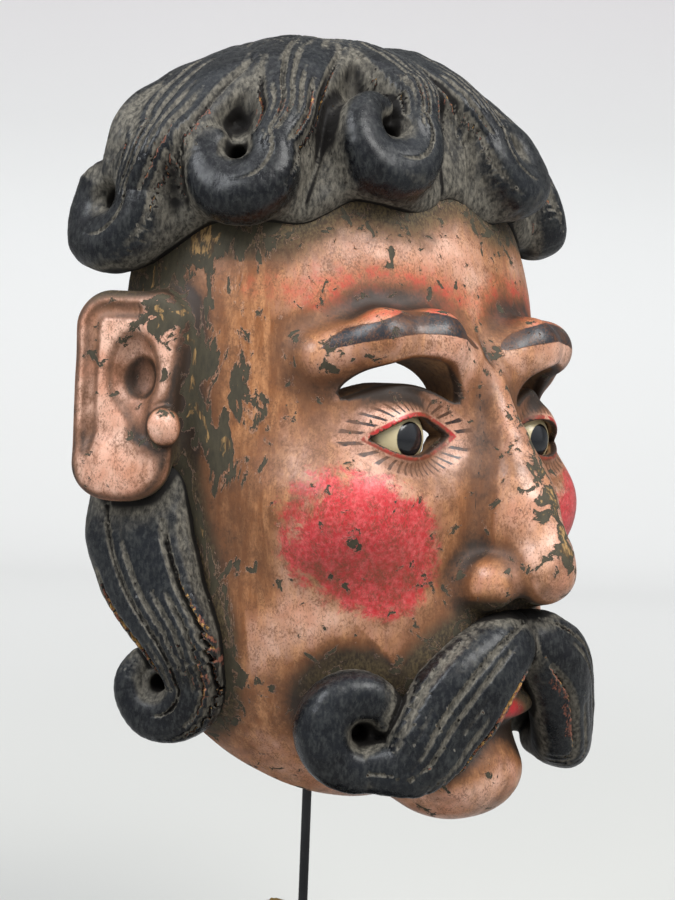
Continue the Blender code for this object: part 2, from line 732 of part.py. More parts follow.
def make_thumb_screw(material):
    """A knurled screw whose tip bears on the rod."""
    middle = COLLAR_BOTTOM + COLLAR_HEIGHT / 2
    tip = ROD_RADIUS + GAP
    head_start = COLLAR_RADIUS + 1.2
    bm = bmesh.new()
    outline = [(0.3, 0), (1.4, 0), (1.8, 0.5), (1.8, head_start - tip)]
    outline += [(THUMB_HEAD_RADIUS, head_start - tip), (THUMB_HEAD_RADIUS, head_start - tip + 6),
                (THUMB_HEAD_RADIUS - 1, head_start - tip + 7), (0.3, head_start - tip + 7)]
    add_turned(bm, outline, (0, tip, middle), (0, 1, 0), 32)
    bmesh.ops.holes_fill(bm, edges=bm.edges)
    for vertex in bm.verts:
        across = Vector((vertex.co.x, 0, vertex.co.z - middle))
        ridge = round(math.atan2(across.z, across.x) / (2 * math.pi / 32)) % 2
        if across.length > THUMB_HEAD_RADIUS - 0.1 and ridge:
            vertex.co -= across.normalized() * 0.5
    return make_object("thumb_screw", bm, material, (0, tip, middle))


def make_rod(steel):
    """The upright, bent forward at the top into the prong that the mask hangs on by its crown."""
    top = CHIN_Z + 193.4
    path = [Vector((0, 0, SOCKET_BOTTOM + 2.5)), Vector((0, 0, COLLAR_BOTTOM)), Vector((0, 0, CHIN_Z)),
            Vector((0, 0, top))]
    path += smooth_path([(0, -0.6, top + 7), (0, -5, top + 13), (0, -13, top + 21), (0, -21, top + 29)], 4)
    bm = bmesh.new()
    add_round_sweep(bm, path, ROD_RADIUS, 12)
    rod = make_object("upright_rod", bm, steel)
    tip = path[-1]
    along = (path[-1] - path[-2]).normalized()
    return rod, tip, along


def make_sleeve(name, tip, along, bar_radius, length, material):
    """A soft sleeve pushed over a bar's tip."""
    inside, outside = bar_radius + GAP, bar_radius + GAP + SLEEVE_WALL
    outline = [(0.3, 2.0), (outside * 0.6, 1.8), (outside, 0.6), (outside, -length), (inside, -length),
               (inside, GAP), (0.3, GAP)]
    bm = bmesh.new()
    add_turned(bm, outline, tip, along, 16)
    bmesh.ops.holes_fill(bm, edges=bm.edges)
    return make_object(name, bm, material, tip)


def make_cross_bar(steel, rubber):
    """A wire brazed behind the rod.  Its two arms reach behind the jaw's rim, and stop it swinging."""
    height = CHIN_Z + 50
    arm_y = RIM_Y + GAP + WIRE_RADIUS + GAP + SLEEVE_WALL + 0.2
    path = smooth_path(
        [(-47, arm_y, height), (-37, arm_y, height), (-27, arm_y, height), (-11, 7, height),
         (0, ROD_RADIUS + WIRE_RADIUS + GAP, height), (11, 7, height), (27, arm_y, height),
         (37, arm_y, height), (47, arm_y, height)],
        4,
    )
    bm = bmesh.new()
    add_round_sweep(bm, path, WIRE_RADIUS, 10)
    bar = make_object("cross_bar", bm, steel)
    sleeves = []
    for name, side in SIDES.items():
        tip = Vector((side * 47, arm_y, height))
        along = Vector((side, 0, 0))
        sleeves.append(make_sleeve(f"arm_sleeve_{name}", tip, along, WIRE_RADIUS, 9, rubber))
    return [bar, *sleeves]


# --- Assembly --------------------------------------------------------------------------------


def build_mask(materials):
    flesh, hair = materials["flesh_paint"], materials["hair_paint"]
    form = make_head_form()
    form_cutter = grown_copy(form)
    back, throat = make_trim()

    shell = bpy.data.objects.new("face_shell", form.data.copy())
    shell.data.materials.append(flesh)
    bpy.context.scene.collection.objects.link(shell)
    cut(shell, make_hollow(), back, throat)
    pieces = [shell]
    for name, side in SIDES.items():
        cut(shell, *make_eye_cutters(name, side))
        bm = bmesh.new()
        reach = HALF_WIDTH + 20
        add_rod(bm, above_chin(side * 50, TIE_Y, TIE_HEIGHT), above_chin(side * reach, TIE_Y, TIE_HEIGHT),
                TIE_HOLE_RADIUS, 12)
        cut(shell, make_helper(f"tie_hole_{name}", bm))
        pieces.append(make_eye(name, side, materials["eye_paint"]))

    nose = make_nose(flesh)
    cut(nose, form_cutter)
    crown, below_hairline = make_crown(hair)
    crown_cutter = grown_copy(crown)
    cut(crown, form_cutter, back, below_hairline)
    blocks = {"nose": nose, "crown": crown}
    nose_cutter = grown_copy(nose)
    for name, side in SIDES.items():
        ear = make_ear(name, side, flesh)
        cut(ear, form_cutter)
        sideburn = make_sideburn(name, side, hair)
        cut(sideburn, form_cutter)
        moustache = make_moustache(name, side, hair)
        other_half = make_other_half(name, side)
        cut(moustache, form_cutter, nose_cutter, other_half)
        blocks.update({f"ear_{name}": ear, f"sideburn_{name}": sideburn, f"moustache_{name}": moustache})
        neighbour = other_half
        for lock_name, shape in LOCKS.items():
            lock = make_lock(lock_name, name, side, shape, hair)
            cut(lock, form_cutter, crown_cutter, neighbour)
            neighbour = grown_copy(lock)
            blocks[f"lock_{lock_name}_{name}"] = lock
    for name, (start, end) in PEGS.items():
        peg, hole = make_peg(name, start, end, materials["bare_wood"])
        block = name.replace("_peg", "") if not name.startswith("crown") else "crown"
        cut(shell, hole)
        cut(blocks[block], hole)
        pieces.append(peg)
    return pieces + list(blocks.values())


def build_stand(materials):
    steel = materials["black_steel"]
    plate, pad = make_plate(steel, materials["felt"])
    socket = make_socket(steel)
    screws, holes = make_flange_screws(materials["brass"])
    cut(plate, *holes)
    cut(socket, *holes)
    rod, tip, along = make_rod(steel)
    prong_sleeve = make_sleeve("prong_sleeve", tip, along, ROD_RADIUS, 10, materials["rubber"])
    mount = [rod, prong_sleeve, *make_cross_bar(steel, materials["rubber"])]
    collar = make_collar(steel)
    thumb_screw = make_thumb_screw(materials["brass"])
    return [plate, pad, socket, *screws], collar, thumb_screw, mount


def main():
    clear_scene()
    materials = make_materials()
    base, collar, thumb_screw, mount = build_stand(materials)
    mask = build_mask(materials)
    ties = [make_tie(name, side, materials["cord"]) for name, side in SIDES.items()]

    stand_frame = make_empty("stand_frame", (0, 0, 0))
    collar_axis = make_empty("collar_axis", (0, 0, COLLAR_BOTTOM))
    rod_frame = make_empty("rod_frame", (0, 0, COLLAR_BOTTOM))
    mask_frame = make_empty("mask_frame", (0, 0, CHIN_Z))
    put_under(stand_frame, [*base, collar_axis])
    put_under(collar_axis, [collar, thumb_screw, rod_frame])
    put_under(rod_frame, [*mount, mask_frame])
    put_under(mask_frame, [*mask, *ties])


main()
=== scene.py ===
"""Looks for the carved and painted dance mask on its display stand.

The mask is carved here as distance fields in millimetres: x across the face, y to the back and h
up from the chin.  Each block is meshed from its field at under a millimetre, and carries point
attributes that say how recessed, how exposed and where on the face each spot is.  The node
materials lay paint, wear, grime, dust, painted shade and painted highlights from those.
"""

import json
from types import SimpleNamespace

import bpy
import numpy as np
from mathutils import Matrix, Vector

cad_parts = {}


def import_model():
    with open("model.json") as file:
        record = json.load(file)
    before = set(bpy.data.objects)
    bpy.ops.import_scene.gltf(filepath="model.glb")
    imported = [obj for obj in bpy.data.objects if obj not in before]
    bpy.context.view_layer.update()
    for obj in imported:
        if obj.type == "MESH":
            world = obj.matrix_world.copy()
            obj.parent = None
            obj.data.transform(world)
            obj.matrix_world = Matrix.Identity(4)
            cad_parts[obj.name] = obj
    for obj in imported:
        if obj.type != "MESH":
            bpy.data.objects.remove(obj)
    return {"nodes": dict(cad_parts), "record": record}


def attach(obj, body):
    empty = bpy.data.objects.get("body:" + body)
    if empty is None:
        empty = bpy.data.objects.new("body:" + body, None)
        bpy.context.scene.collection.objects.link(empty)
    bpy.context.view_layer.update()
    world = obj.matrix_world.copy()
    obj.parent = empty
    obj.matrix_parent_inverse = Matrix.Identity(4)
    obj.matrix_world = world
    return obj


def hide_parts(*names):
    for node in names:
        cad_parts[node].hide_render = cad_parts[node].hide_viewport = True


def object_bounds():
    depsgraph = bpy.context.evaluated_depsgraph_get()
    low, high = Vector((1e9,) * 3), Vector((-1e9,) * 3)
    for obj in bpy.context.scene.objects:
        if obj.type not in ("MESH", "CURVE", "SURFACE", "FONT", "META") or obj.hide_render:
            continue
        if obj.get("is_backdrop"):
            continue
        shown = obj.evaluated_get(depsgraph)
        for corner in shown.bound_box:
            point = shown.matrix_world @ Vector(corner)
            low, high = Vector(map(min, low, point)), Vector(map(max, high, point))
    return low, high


MM = 0.001
CHIN_Z = 95.0  # the chin's height over the table
RIM_Y = 10.0
EYE_X = 32.0
EYE_Y = -57.0
EYE_H = 123.0
EYE_RADIUS = 12.5
LID_RADIUS = 15.8
BITE = 0.7  # how far glued blocks run into each other, so that no joint opens in the paint
EAR_H = 133.0
EAR_MIDDLE = (89.0, -2.0)
EAR_ALONG = (0.514, 0.857)  # the ear's slab runs outward and back in this direction
TIE_H = 130.0
TIE_Y = 4.0
VOXEL = 0.75
SIDES = {"right": -1.0, "left": 1.0}
CAMERA_AZIMUTH = -47.0
CAMERA_ELEVATION = 2.0
CAMERA_DISTANCE = 0.66
CAMERA_TARGET = Vector((-0.0024, -0.0104, 0.2117))
CAMERA_ROLL = 2.2
FRAME_HEIGHT = 0.303  # metres of height in view at the target
LIGHT_DISTANCE = 1.3
UP = np.array([0.0, 0.0, 1.0])
f32 = np.float32


# --- Distance fields -------------------------------------------------------------------------


def clamp01(v):
    return np.clip(v, 0, 1)


def columns(points):
    """The x, y and h of an array of points."""
    return [points[:, i].astype(f32) for i in range(3)]


def join(a, b, k):
    """Union with a fillet about k wide."""
    h = np.maximum(k - np.abs(a - b), 0) / k
    return np.minimum(a, b) - h * h * (k * 0.25)


def carve(a, b, k):
    """a with b taken out, its edge rounded over about k."""
    h = np.maximum(k - np.abs(a + b), 0) / k
    return np.maximum(a, -b) + h * h * (k * 0.25)


def tooled(d, p, *marks):
    """d with an uneven skin: each mark is how deep, how wide and which of the noises."""
    return d + sum(deep * (noise(p, size, shift) - 0.5) for deep, size, shift in marks)


def lump(p, centre, radii):
    """An ellipsoid."""
    x, y, h = (p[i] - centre[i] for i in range(3))
    near = np.sqrt((x / radii[0]) ** 2 + (y / radii[1]) ** 2 + (h / radii[2]) ** 2)
    slope = np.sqrt((x / radii[0] ** 2) ** 2 + (y / radii[1] ** 2) ** 2 + (h / radii[2] ** 2) ** 2)
    return near * (near - 1) / np.maximum(slope, 1e-6)


def tube(p, points, radii, k=0.0):
    """A chain of tapering round bars."""
    best = None
    for a, b, ra, rb in zip(points, points[1:], radii, radii[1:]):
        ab = [b[i] - a[i] for i in range(3)]
        ap = [p[i] - a[i] for i in range(3)]
        t = clamp01(sum(u * v for u, v in zip(ap, ab)) / sum(v * v for v in ab))
        d = np.sqrt(sum((u - v * t) ** 2 for u, v in zip(ap, ab))) - (ra + (rb - ra) * t)
        best = d if best is None else (join(best, d, k) if k else np.minimum(best, d))
    return best


_lattice = np.random.default_rng(7).random((32, 32, 32)).astype(f32)


def noise(p, size, shift=0.0):
    """Smooth noise from 0 to 1 with lumps about size millimetres."""
    cell, part = [], []
    for i in range(3):
        q = p[i] / (size[i] if isinstance(size, tuple) else size) + shift * (1.7 + i) + 500.0
        whole = np.floor(q)
        t = q - whole
        cell.append(whole.astype(np.int32) & 31)
        part.append(t * t * (3 - 2 * t))
    total = 0
    for corner in range(8):
        step = [(corner >> i) & 1 for i in range(3)]
        weight = 1
        for i in range(3):
            weight = weight * (part[i] if step[i] else 1 - part[i])
        index = [(cell[i] + step[i]) & 31 for i in range(3)]
        total = total + weight * _lattice[index[0], index[1], index[2]]
    return total


def scatter(index):
    """A fixed spread of values from 0 to 1, one for each whole number."""
    value = np.sin(index * 12.9898) * 43758.547
    return value - np.floor(value)


FULLNESS = 2.5  # a lock's section: 2 is an ellipse, more is boxier
CURL_POINTS = 23


class Stroke:
    """A carved lock: a bar with a rounded, boxy section along a path, grooved along its length.

    points are its middle line, outs the outward direction at each, widths and depths its half
    sizes across and outward.  Grooves run along it and fade out before its curled end.
    """

    def __init__(self, points, outs, widths, depths, grooves, groove_depth, groove_end):
        self.points = np.array(points, f32)
        self.outs = np.array(outs, f32)
        self.widths = np.array(widths, f32)
        self.depths = np.array(depths, f32)
        self.grooves = grooves
        self.groove_depth = groove_depth
        self.groove_end = groove_end
        reach = float(max(self.widths.max(), self.depths.max())) + 6
        self.low = self.points.min(0) - reach
        self.high = self.points.max(0) + reach

    def measure(self, p):
        """The distance to the stroke, and how deep in a groove each point is, from 0 to 1."""
        inside = np.ones(p[0].shape, bool)
        for i in range(3):
            inside &= (p[i] > self.low[i]) & (p[i] < self.high[i])
        distance = np.full(p[0].shape, 30.0, f32)
        groove = np.zeros(p[0].shape, f32)
        if inside.any():
            distance[inside], groove[inside] = self._near([c[inside] for c in p])
        return distance, groove

    def distance(self, p):
        return self.measure(p)[0]

    def _near(self, p):
        count = len(self.points) - 1
        nearest = np.full((6, *p[0].shape), 1e9, f32)
        for n in range(count):
            a, b = self.points[n], self.points[n + 1]
            ab = b - a
            length = float(np.sqrt((ab * ab).sum()))
            tangent = ab / length
            out = self.outs[n] - tangent * float(self.outs[n] @ tangent)
            out = out / np.linalg.norm(out)
            across = np.cross(tangent, out)
            q = [p[i] - a[i] for i in range(3)]
            run = q[0] * tangent[0] + q[1] * tangent[1] + q[2] * tangent[2]
            t = np.clip(run / length, 0, 1)
            over = run - t * length
            v = q[0] * across[0] + q[1] * across[1] + q[2] * across[2]
            w = q[0] * out[0] + q[1] * out[1] + q[2] * out[2]
            wide = self.widths[n] + (self.widths[n + 1] - self.widths[n]) * t
            deep = self.depths[n] + (self.depths[n + 1] - self.depths[n]) * t
            far = np.hypot(v, over)
            near = (far / wide) ** FULLNESS + np.abs(w / deep) ** FULLNESS
            here = np.stack([near, v, w, wide, deep, n + t])
            nearest = np.where(near < nearest[0], here, nearest)
        near, side, rise, width, depth, along = nearest
        near = near ** (1 / FULLNESS)
        slope = np.hypot(side / width ** 2, rise / depth ** 2)
        d = near * (near - 1) / np.maximum(slope, (near + 0.1) / (width + depth))
        share = along / count
        place = side / width * (0.5 * self.grooves) + 0.35 * np.sin(share * 9)
        which = np.round(place)
        first, second = scatter(which + self.grooves), scatter(which + 9.0)
        end = self.groove_end * (0.65 + 0.5 * first)
        fade = np.clip((end - share) / 0.12, 0, 1) * np.clip((share - 0.3 * second) / 0.06, 0, 1)
        fade = fade * np.clip(1.6 * (rise / depth + 0.5), 0, 1) * (0.35 + 0.65 * scatter(which + 4.0))
        cut = (0.5 + 0.5 * np.cos(place * 2 * np.pi)) ** 2.4
        fade = fade * np.clip((1.0 - np.abs(side / width)) * 5, 0, 1)
        return d + self.groove_depth * cut * fade, cut * fade


def smooth_path(points, steps):
    """A Catmull-Rom curve through points."""
    points = [np.array(q, float) for q in points]
    ends = [2 * points[0] - points[1], *points, 2 * points[-1] - points[-2]]
    path = []
    for a, b, c, d in zip(ends, ends[1:], ends[2:], ends[3:]):
        for i in range(steps):
            t = i / steps
            bend = (2 * a - 5 * b + 4 * c - d) * t * t + (3 * b - a - 3 * c + d) * t ** 3
            path.append((2 * b + (c - a) * t + bend) / 2)
    path.append(points[-1])
    return path


def spread(values, count):
    return np.interp(np.linspace(0, len(values) - 1, count), range(len(values)), values)


def unit(v):
    v = np.array(v, float)
    return v / np.linalg.norm(v)


def curl(centre, forward, up, out, radii, start, end, sink):
    """The rolled end of a lock round its drilled hole, in the plane of forward and up."""
    points = []
    for share, radius in zip(np.linspace(0, 1, CURL_POINTS), spread(radii, CURL_POINTS)):
        angle = np.radians(start + (end - start) * share)
        around = forward * np.cos(angle) + up * np.sin(angle)
        points.append(centre + around * radius - out * sink * share ** 2)
    return points


# --- The face --------------------------------------------------------------------------------


def mirrored(p):
    return [np.abs(p[0]), p[1], p[2]]


def nose_form(p):
    q = mirrored(p)
    d = tube(p, [(0, -72, 140), (0, -81, 122), (0, -91, 103), (0, -96, 90)], [5.5, 6.0, 7.5, 9.0], 4)
    d = join(d, lump(p, (0, -96, 83), (11.5, 10.5, 9.8)), 5)
    d = join(d, lump(q, (5, -83, 98), (8, 12, 22)), 5)
    d = join(d, lump(q, (12.5, -84, 79.5), (7.5, 11.5, 8.5)), 5)
    d = carve(d, lump(q, (7.0, -90, 71), (3.9, 6.5, 6.5)), 1.6)
    return d


def ear_form(p):
    """A thick slab with round corners: u runs to its back edge, v up and w out of its front."""
    x, y, h = mirrored(p)
    out_x, out_y = x - EAR_MIDDLE[0], y - EAR_MIDDLE[1]
    u = out_x * EAR_ALONG[0] + out_y * EAR_ALONG[1]
    w = out_x * EAR_ALONG[1] - out_y * EAR_ALONG[0]
    v = h - EAR_H
    lean = u + 0.06 * v
    corner = 11.0
    wide = 17.0 - 0.045 * (8 - v)
    qu = np.abs(lean) - (wide - corner)
    qv = np.abs(v) - (32.0 - corner)
    outline = np.hypot(np.maximum(qu, 0), np.maximum(qv, 0)) - corner
    outline = outline + np.minimum(np.maximum(qu, qv), 0)
    d = carve(outline, 5.2 - np.abs(w + 0.5), 5.0)
    q = [u, w, v]
    groove = np.hypot(outline + 6.0, w - 5.6) - 2.3
    d = carve(d, groove + 6 * clamp01((-4 - u) / 8) + 6 * clamp01((-18 - v) / 8), 1.6)
    d = carve(d, lump(q, (-3.0, 7.6, 7), (8.0, 8.6, 12.5)), 3.0)
    d = carve(d, lump(q, (-4.5, 1.5, 5.5), (4.6, 5.5, 6.0)), 2.0)
    d = carve(d, tube(q, [(-4, 6, -2), (-6, 6.4, -11)], [3.4, 2.6]), 3.0)
    d = join(d, lump(q, (-13.5, 4.6, -9), (5.2, 5.4, 6.2)), 1.6)
    d = join(d, lump(q, (2, 2.6, -22), (12, 4.0, 9)), 4)
    return d


def head_form(p):
    """The face and side walls, without nose or ears, with the lids but not their openings."""
    q = mirrored(p)
    d = lump(p, (0, 3, 150), (82, 67, 94))
    d = join(d, lump(p, (0, -12, 100), (69, 70, 75)), 16)
    d = join(d, lump(p, (0, -11, 62), (66, 62, 62)), 16)
    d = join(d, lump(q, (41, -48, 101), (23, 24, 18)), 16)
    d = join(d, lump(p, (0, -60, 54), (33, 25, 27)), 14)
    d = join(d, lump(p, (0, -63, 18), (24, 22, 16.5)), 12)
    brow = [(10, -66, 146), (24, -69, 152.5), (40, -63, 153), (54, -50, 147)]
    d = join(d, tube(q, brow, [8.5, 9.5, 8.5, 6.5], 4), 9)
    d = carve(d, lump(q, (EYE_X, -88, 126), (20, 21, 15.5)), 8)
    d = join(d, lump(q, (EYE_X, EYE_Y, EYE_H), (LID_RADIUS, LID_RADIUS, LID_RADIUS)), 2.5)
    d = join(d, lump(p, (0, -79, 41), (20, 8.5, 6.2)), 3)
    d = join(d, lump(p, (0, -81, 52.5), (22, 7, 5.5)), 4)
    d = carve(d, lump(p, (0, -91, 46.7), (24, 8, 1.3)), 1.5)
    return d


def eye_plane(p):
    """Position over an eye: u outward from its middle, v up."""
    return np.abs(p[0]) - EYE_X, p[2] - EYE_H


def lid_opening(p):
    """The almond between the lids: distance in the plane of the face."""
    u, v = eye_plane(p)
    v = v + 0.06 * u
    upper = np.hypot(u, v + 11.5) - 18.2
    lower = np.hypot(u, v - 15.5) - 20.4
    return np.maximum(upper, lower)


def sight_slit(p):
    """The crescent between lid and brow that the wearer looks through."""
    u, v = eye_plane(p)
    turn = np.arctan2(u, v)
    half = 3.9 * np.sqrt(np.maximum(0, 1 - (turn / 0.95) ** 2))
    half = half - np.maximum(0, np.abs(turn) - 0.95) * 20
    return np.abs(np.hypot(u, v) - 20.8) - half


def open_eyes(d, p):
    d = carve(d, np.maximum(lid_opening(p), p[1] - EYE_Y - 2), 1.0)
    d = carve(d, np.maximum(sight_slit(p), p[1] - EYE_Y - 26), 1.8)
    q = mirrored(p)
    seat = lump(q, (EYE_X, EYE_Y, EYE_H), (EYE_RADIUS + 0.3,) * 3)
    mouth = np.hypot(q[0] - EYE_X, q[2] - EYE_H) - (EYE_RADIUS + 0.3)
    mouth = np.maximum(mouth, EYE_Y - p[1])
    return carve(carve(d, seat, 0.4), mouth, 1.0)


def whole_face(p):
    """Face, nose and ears as if in one piece, with fillets where blocks meet."""
    d = join(head_form(p), nose_form(p), 5)
    d = join(d, ear_form(p), 5)
    return tooled(d, p, (0.35, 9.0, 0.0), (0.5, 22.0, 3.1))


def hollow(p):
    d = lump(p, (0, 2, 148), (73.6, 58.6, 86.6))
    d = join(d, lump(p, (0, -10, 98), (60, 61, 68)), 10)
    d = join(d, lump(p, (0, -9, 64), (56, 53, 54)), 10)
    turn = np.arctan2(p[0], -p[1] + 20)
    row = p[2] / 13.0 + 0.6 * np.sin(turn * 4)
    column = turn * 6.5 + 0.5 * np.floor(row)
    scoop = np.abs(np.sin(np.pi * row)) * np.abs(np.sin(np.pi * column))
    return d + 1.1 - 1.3 * np.sqrt(scoop) + 0.8 * (noise(p, 14.0, 8.0) - 0.5)


def trim(d, p):
    """Saws off everything behind the rim and under the throat."""
    d = carve(d, RIM_Y - p[1], 1.6)
    throat = (p[1] - RIM_Y) * 0.623 - (p[2] - 34) * 0.783
    return carve(d, -throat, 1.6)


def nose_block(p):
    return np.maximum(nose_form(p) - 2.2, -(head_form(p) + 1.2))


def ear_block(p):
    return np.maximum(ear_form(p) - 1.6, -(head_form(p) + 1.2))


def shell_field(p):
    d = np.maximum(whole_face(p), -(nose_block(p) + BITE))
    d = np.maximum(d, -(ear_block(p) + BITE))
    d = open_eyes(d, p)
    d = trim(carve(d, hollow(p), 2.0), p)
    hole = np.hypot(p[1] - TIE_Y, p[2] - TIE_H) - 2.0
    return carve(d, np.maximum(hole, 50 - np.abs(p[0])), 0.8)


def nose_field(p):
    return np.maximum(whole_face(p), nose_block(p))


def ear_field(side):
    def field(p):
        return np.maximum(np.maximum(whole_face(p), ear_block(p)), -side * p[0])

    return field


# --- The hair --------------------------------------------------------------------------------

MOUSTACHE_HOLE = np.array([47.5, -66.0, 34.0])
MOUSTACHE_OUT = unit([0.54, -0.84, 0])
MOUSTACHE_ALONG = unit([0.84, 0.54, 0])
MOUSTACHE_FILL = MOUSTACHE_HOLE - MOUSTACHE_OUT * 6 + MOUSTACHE_ALONG * 2
MOUSTACHE_ROOT = MOUSTACHE_HOLE - MOUSTACHE_OUT * 26
WHISKER_HOLE = np.array([70.0, -2.0, 43.0])
WHISKER_OUT = unit([1, -0.35, 0])
WHISKER_FILL = WHISKER_HOLE - WHISKER_OUT * 5 - UP * 2
CROWN_CENTRE = (0.0, 3.0, 157.0)
CROWN_RADII = (86.0, 63.0, 93.0)
CROWN_FULLNESS = 2.65
SWELL_CENTRE = (62.0, 10.0, 205.0)  # where the crown swells out over each temple
SWELL_RADII = (30.0, 24.0, 27.0)
LOCKS = {
    "front": {"turn": 22.0, "height": 216.0, "start": (10.0, 249.5), "ahead": 10, "wide": 1.0,
              "swell": 0, "end": -258},
    "side": {"turn": 59.5, "height": 206.0, "start": (46.0, 249.0), "ahead": 11, "wide": 0.85,
             "swell": 0, "end": -200},
    "temple": {"turn": 94.0, "height": 192.0, "start": (78.0, 244.0), "ahead": 13, "wide": 1.15,
               "swell": 5, "end": -258},
}


def crown_form(p):
    x, y, h = ((p[i] - CROWN_CENTRE[i]) / CROWN_RADII[i] for i in range(3))
    level = np.sqrt(x * x + y * y)
    near = (level ** CROWN_FULLNESS + np.abs(h) ** CROWN_FULLNESS) ** (1 / CROWN_FULLNESS) + 1e-6
    far = np.sqrt(sum((p[i] - CROWN_CENTRE[i]) ** 2 for i in range(3)))
    return join(far * (1 - 1 / near) * 0.92, lump(mirrored(p), SWELL_CENTRE, SWELL_RADII), 8)


def on_crown(turn, height, lift):
    """A point over the crown of the +X side, turned from the front, and the outward direction."""
    rise = (height - CROWN_CENTRE[2]) / CROWN_RADII[2]
    level = (1 - abs(rise) ** CROWN_FULLNESS) ** (1 / CROWN_FULLNESS)
    angle = np.radians(turn)
    u = np.array([np.sin(angle) * level, -np.cos(angle) * level, rise])
    point = np.array(CROWN_CENTRE) + u * CROWN_RADII
    out = unit(np.sign(u) * np.abs(u) ** 1.3 / CROWN_RADII)
    return point + out * lift, out


def curled_stroke(lead, lead_outs, rolled, out, widths, depths, *grooves):
    """A stroke that runs along lead and into its curl, with the grooves' number, depth and end."""
    path = smooth_path([*lead, rolled[0]], 5)[:-1]
    outs = lead_outs(len(path)) + [out] * len(rolled)
    path = path + rolled
    return Stroke(path, outs, spread(widths, len(path)), spread(depths, len(path)), *grooves)


def make_lock(shape):
    """A lock: it falls from the crown in front of its hole, then rolls under, back and up."""
    centre, out = on_crown(shape["turn"], shape["height"], 2.5)
    up = unit(UP - out * out[2])
    forward = np.cross(out, up)
    radii = [10.8, 11.8, 13.4, 13.4, 11.4, 9.6, 8.2]
    rolled = curl(centre, forward, up, out, radii, 10, shape["end"], 1.0)
    start_turn, start_height = shape["start"]
    lead, normals = [], []
    for share, lift in ((0.0, -3.4), (0.25, -2.6), (0.5, -1.4), (0.75, 0.2), (0.92, 1.6)):
        turn = start_turn + (shape["turn"] - shape["ahead"] - start_turn) * (1 - (1 - share) ** 1.8)
        height = start_height + (shape["height"] + 8 - start_height) * share ** 1.25
        point, normal = on_crown(turn, height, lift + shape["swell"] * share ** 2)
        lead.append(point)
        normals.append(normal)
    widths = [*(shape["wide"] * v for v in (15, 16, 15, 13)), 9.6, 7.8, 8.4, 9.6, 8.4, 7.0, 5.2]
    depths = [4.8, 6.2, 7.4, 8.4, 8.8, 8.8, 8.6, 8.8, 8.8, 8.4, 7.0]

    def lead_out(count):
        return [unit(v) for v in smooth_path([*normals, out], 5)[:-1]]

    return curled_stroke(lead, lead_out, rolled, out, widths, depths, 7, 1.6, 0.66)


def make_moustache():
    """The moustache's +X half: it falls from under the nose and curls up on the cheek."""
    out = MOUSTACHE_OUT
    radii = [10.4, 11.0, 11.6, 11.8, 11.4, 10.6, 9.8]
    rolled = curl(MOUSTACHE_HOLE, MOUSTACHE_ALONG, UP, out, radii, -104, 150, 0.8)
    lead = [(3, -87, 63), (11, -89, 59), (21, -88, 50.5), (30, -84, 38.5), (37.5, -78.5, 26)]
    widths = [8, 10.5, 13, 15, 13.5, 9.0, 7.4, 7.6, 8.2, 8.4, 7.6, 6.2]
    depths = [7, 9, 10.5, 10.5, 10, 9.6, 9.4, 9.4, 9.2, 9.0, 8.6, 7.4]
    first = unit([0.25, -1, 0.1])

    def lead_out(count):
        return [unit(first + (out - first) * i / count) for i in range(count)]

    return curled_stroke(lead, lead_out, rolled, out, widths, depths, 7, 1.5, 0.5)


def make_whisker():
    """The +X side-whisker: it falls from under the ear and curls back behind the jaw."""
    out = WHISKER_OUT
    radii = [12.4, 12.0, 11.6, 11.0, 10.2, 9.6]
    rolled = curl(WHISKER_HOLE, unit([-0.35, -1, 0]), UP, out, radii, 12, -215, 0.6)
    lead = [(78, 3, 101), (78.5, 1, 88), (76.5, -5, 73), (72.5, -13, 58)]
    widths = [17.5, 18.5, 17.5, 14.5, 11.5, 9.6, 8.6, 7.8, 7.0, 6.2, 5.0]
    depths = [7, 8.5, 9.5, 10, 10, 9.5, 9, 8.6, 8, 7.2, 5.6]
    return curled_stroke(lead, lambda count: [out] * count, rolled, out, widths, depths, 8, 1.9, 0.62)


LOCK_STROKES = {name: make_lock(shape) for name, shape in LOCKS.items()}
MOUSTACHE = make_moustache()
WHISKER = make_whisker()


def hairline(p):
    """Above nought over the hairline, which is scalloped between the locks."""
    turn = np.degrees(np.arctan2(np.abs(p[0]), -p[1]))
    line = 178 + 0.32 * np.maximum(-p[1], 0) + 3 * np.cos(np.radians(turn * 10))
    return p[2] - line


def crown_grooves(p):
    """How deep in a groove of the crown: they fall from its middle, and bend towards each lock."""
    turn = np.degrees(np.arctan2(np.abs(p[0]), -p[1] - 2))
    fall = clamp01((248 - p[2]) / 60)
    wave = turn + 9 * fall * np.sin(np.radians(turn * 5.2)) + 6 * (noise(p, 18.0, 6.0) - 0.5)
    which = np.round(wave / 6.4)
    deep = (0.5 + 0.5 * np.cos(wave * 2 * np.pi / 6.4)) ** 2.4
    strength = 0.25 + 0.75 * scatter(which + 2.0)
    low_end = 185 + 42 * scatter(which + 6.0)
    return deep * strength * clamp01((p[2] - low_end) / 8) * np.clip((251 - p[2]) / 6, 0.3, 1)


def drilled(d, p, centre, out, radius):
    """d with the hole drilled in a curl, its mouth eased."""
    hole = tube(mirrored(p), [centre - out * 7, centre + out * 3, centre + out * 12],
                [radius * 0.8, radius, radius * 1.8])
    return carve(d, hole, 2.2)


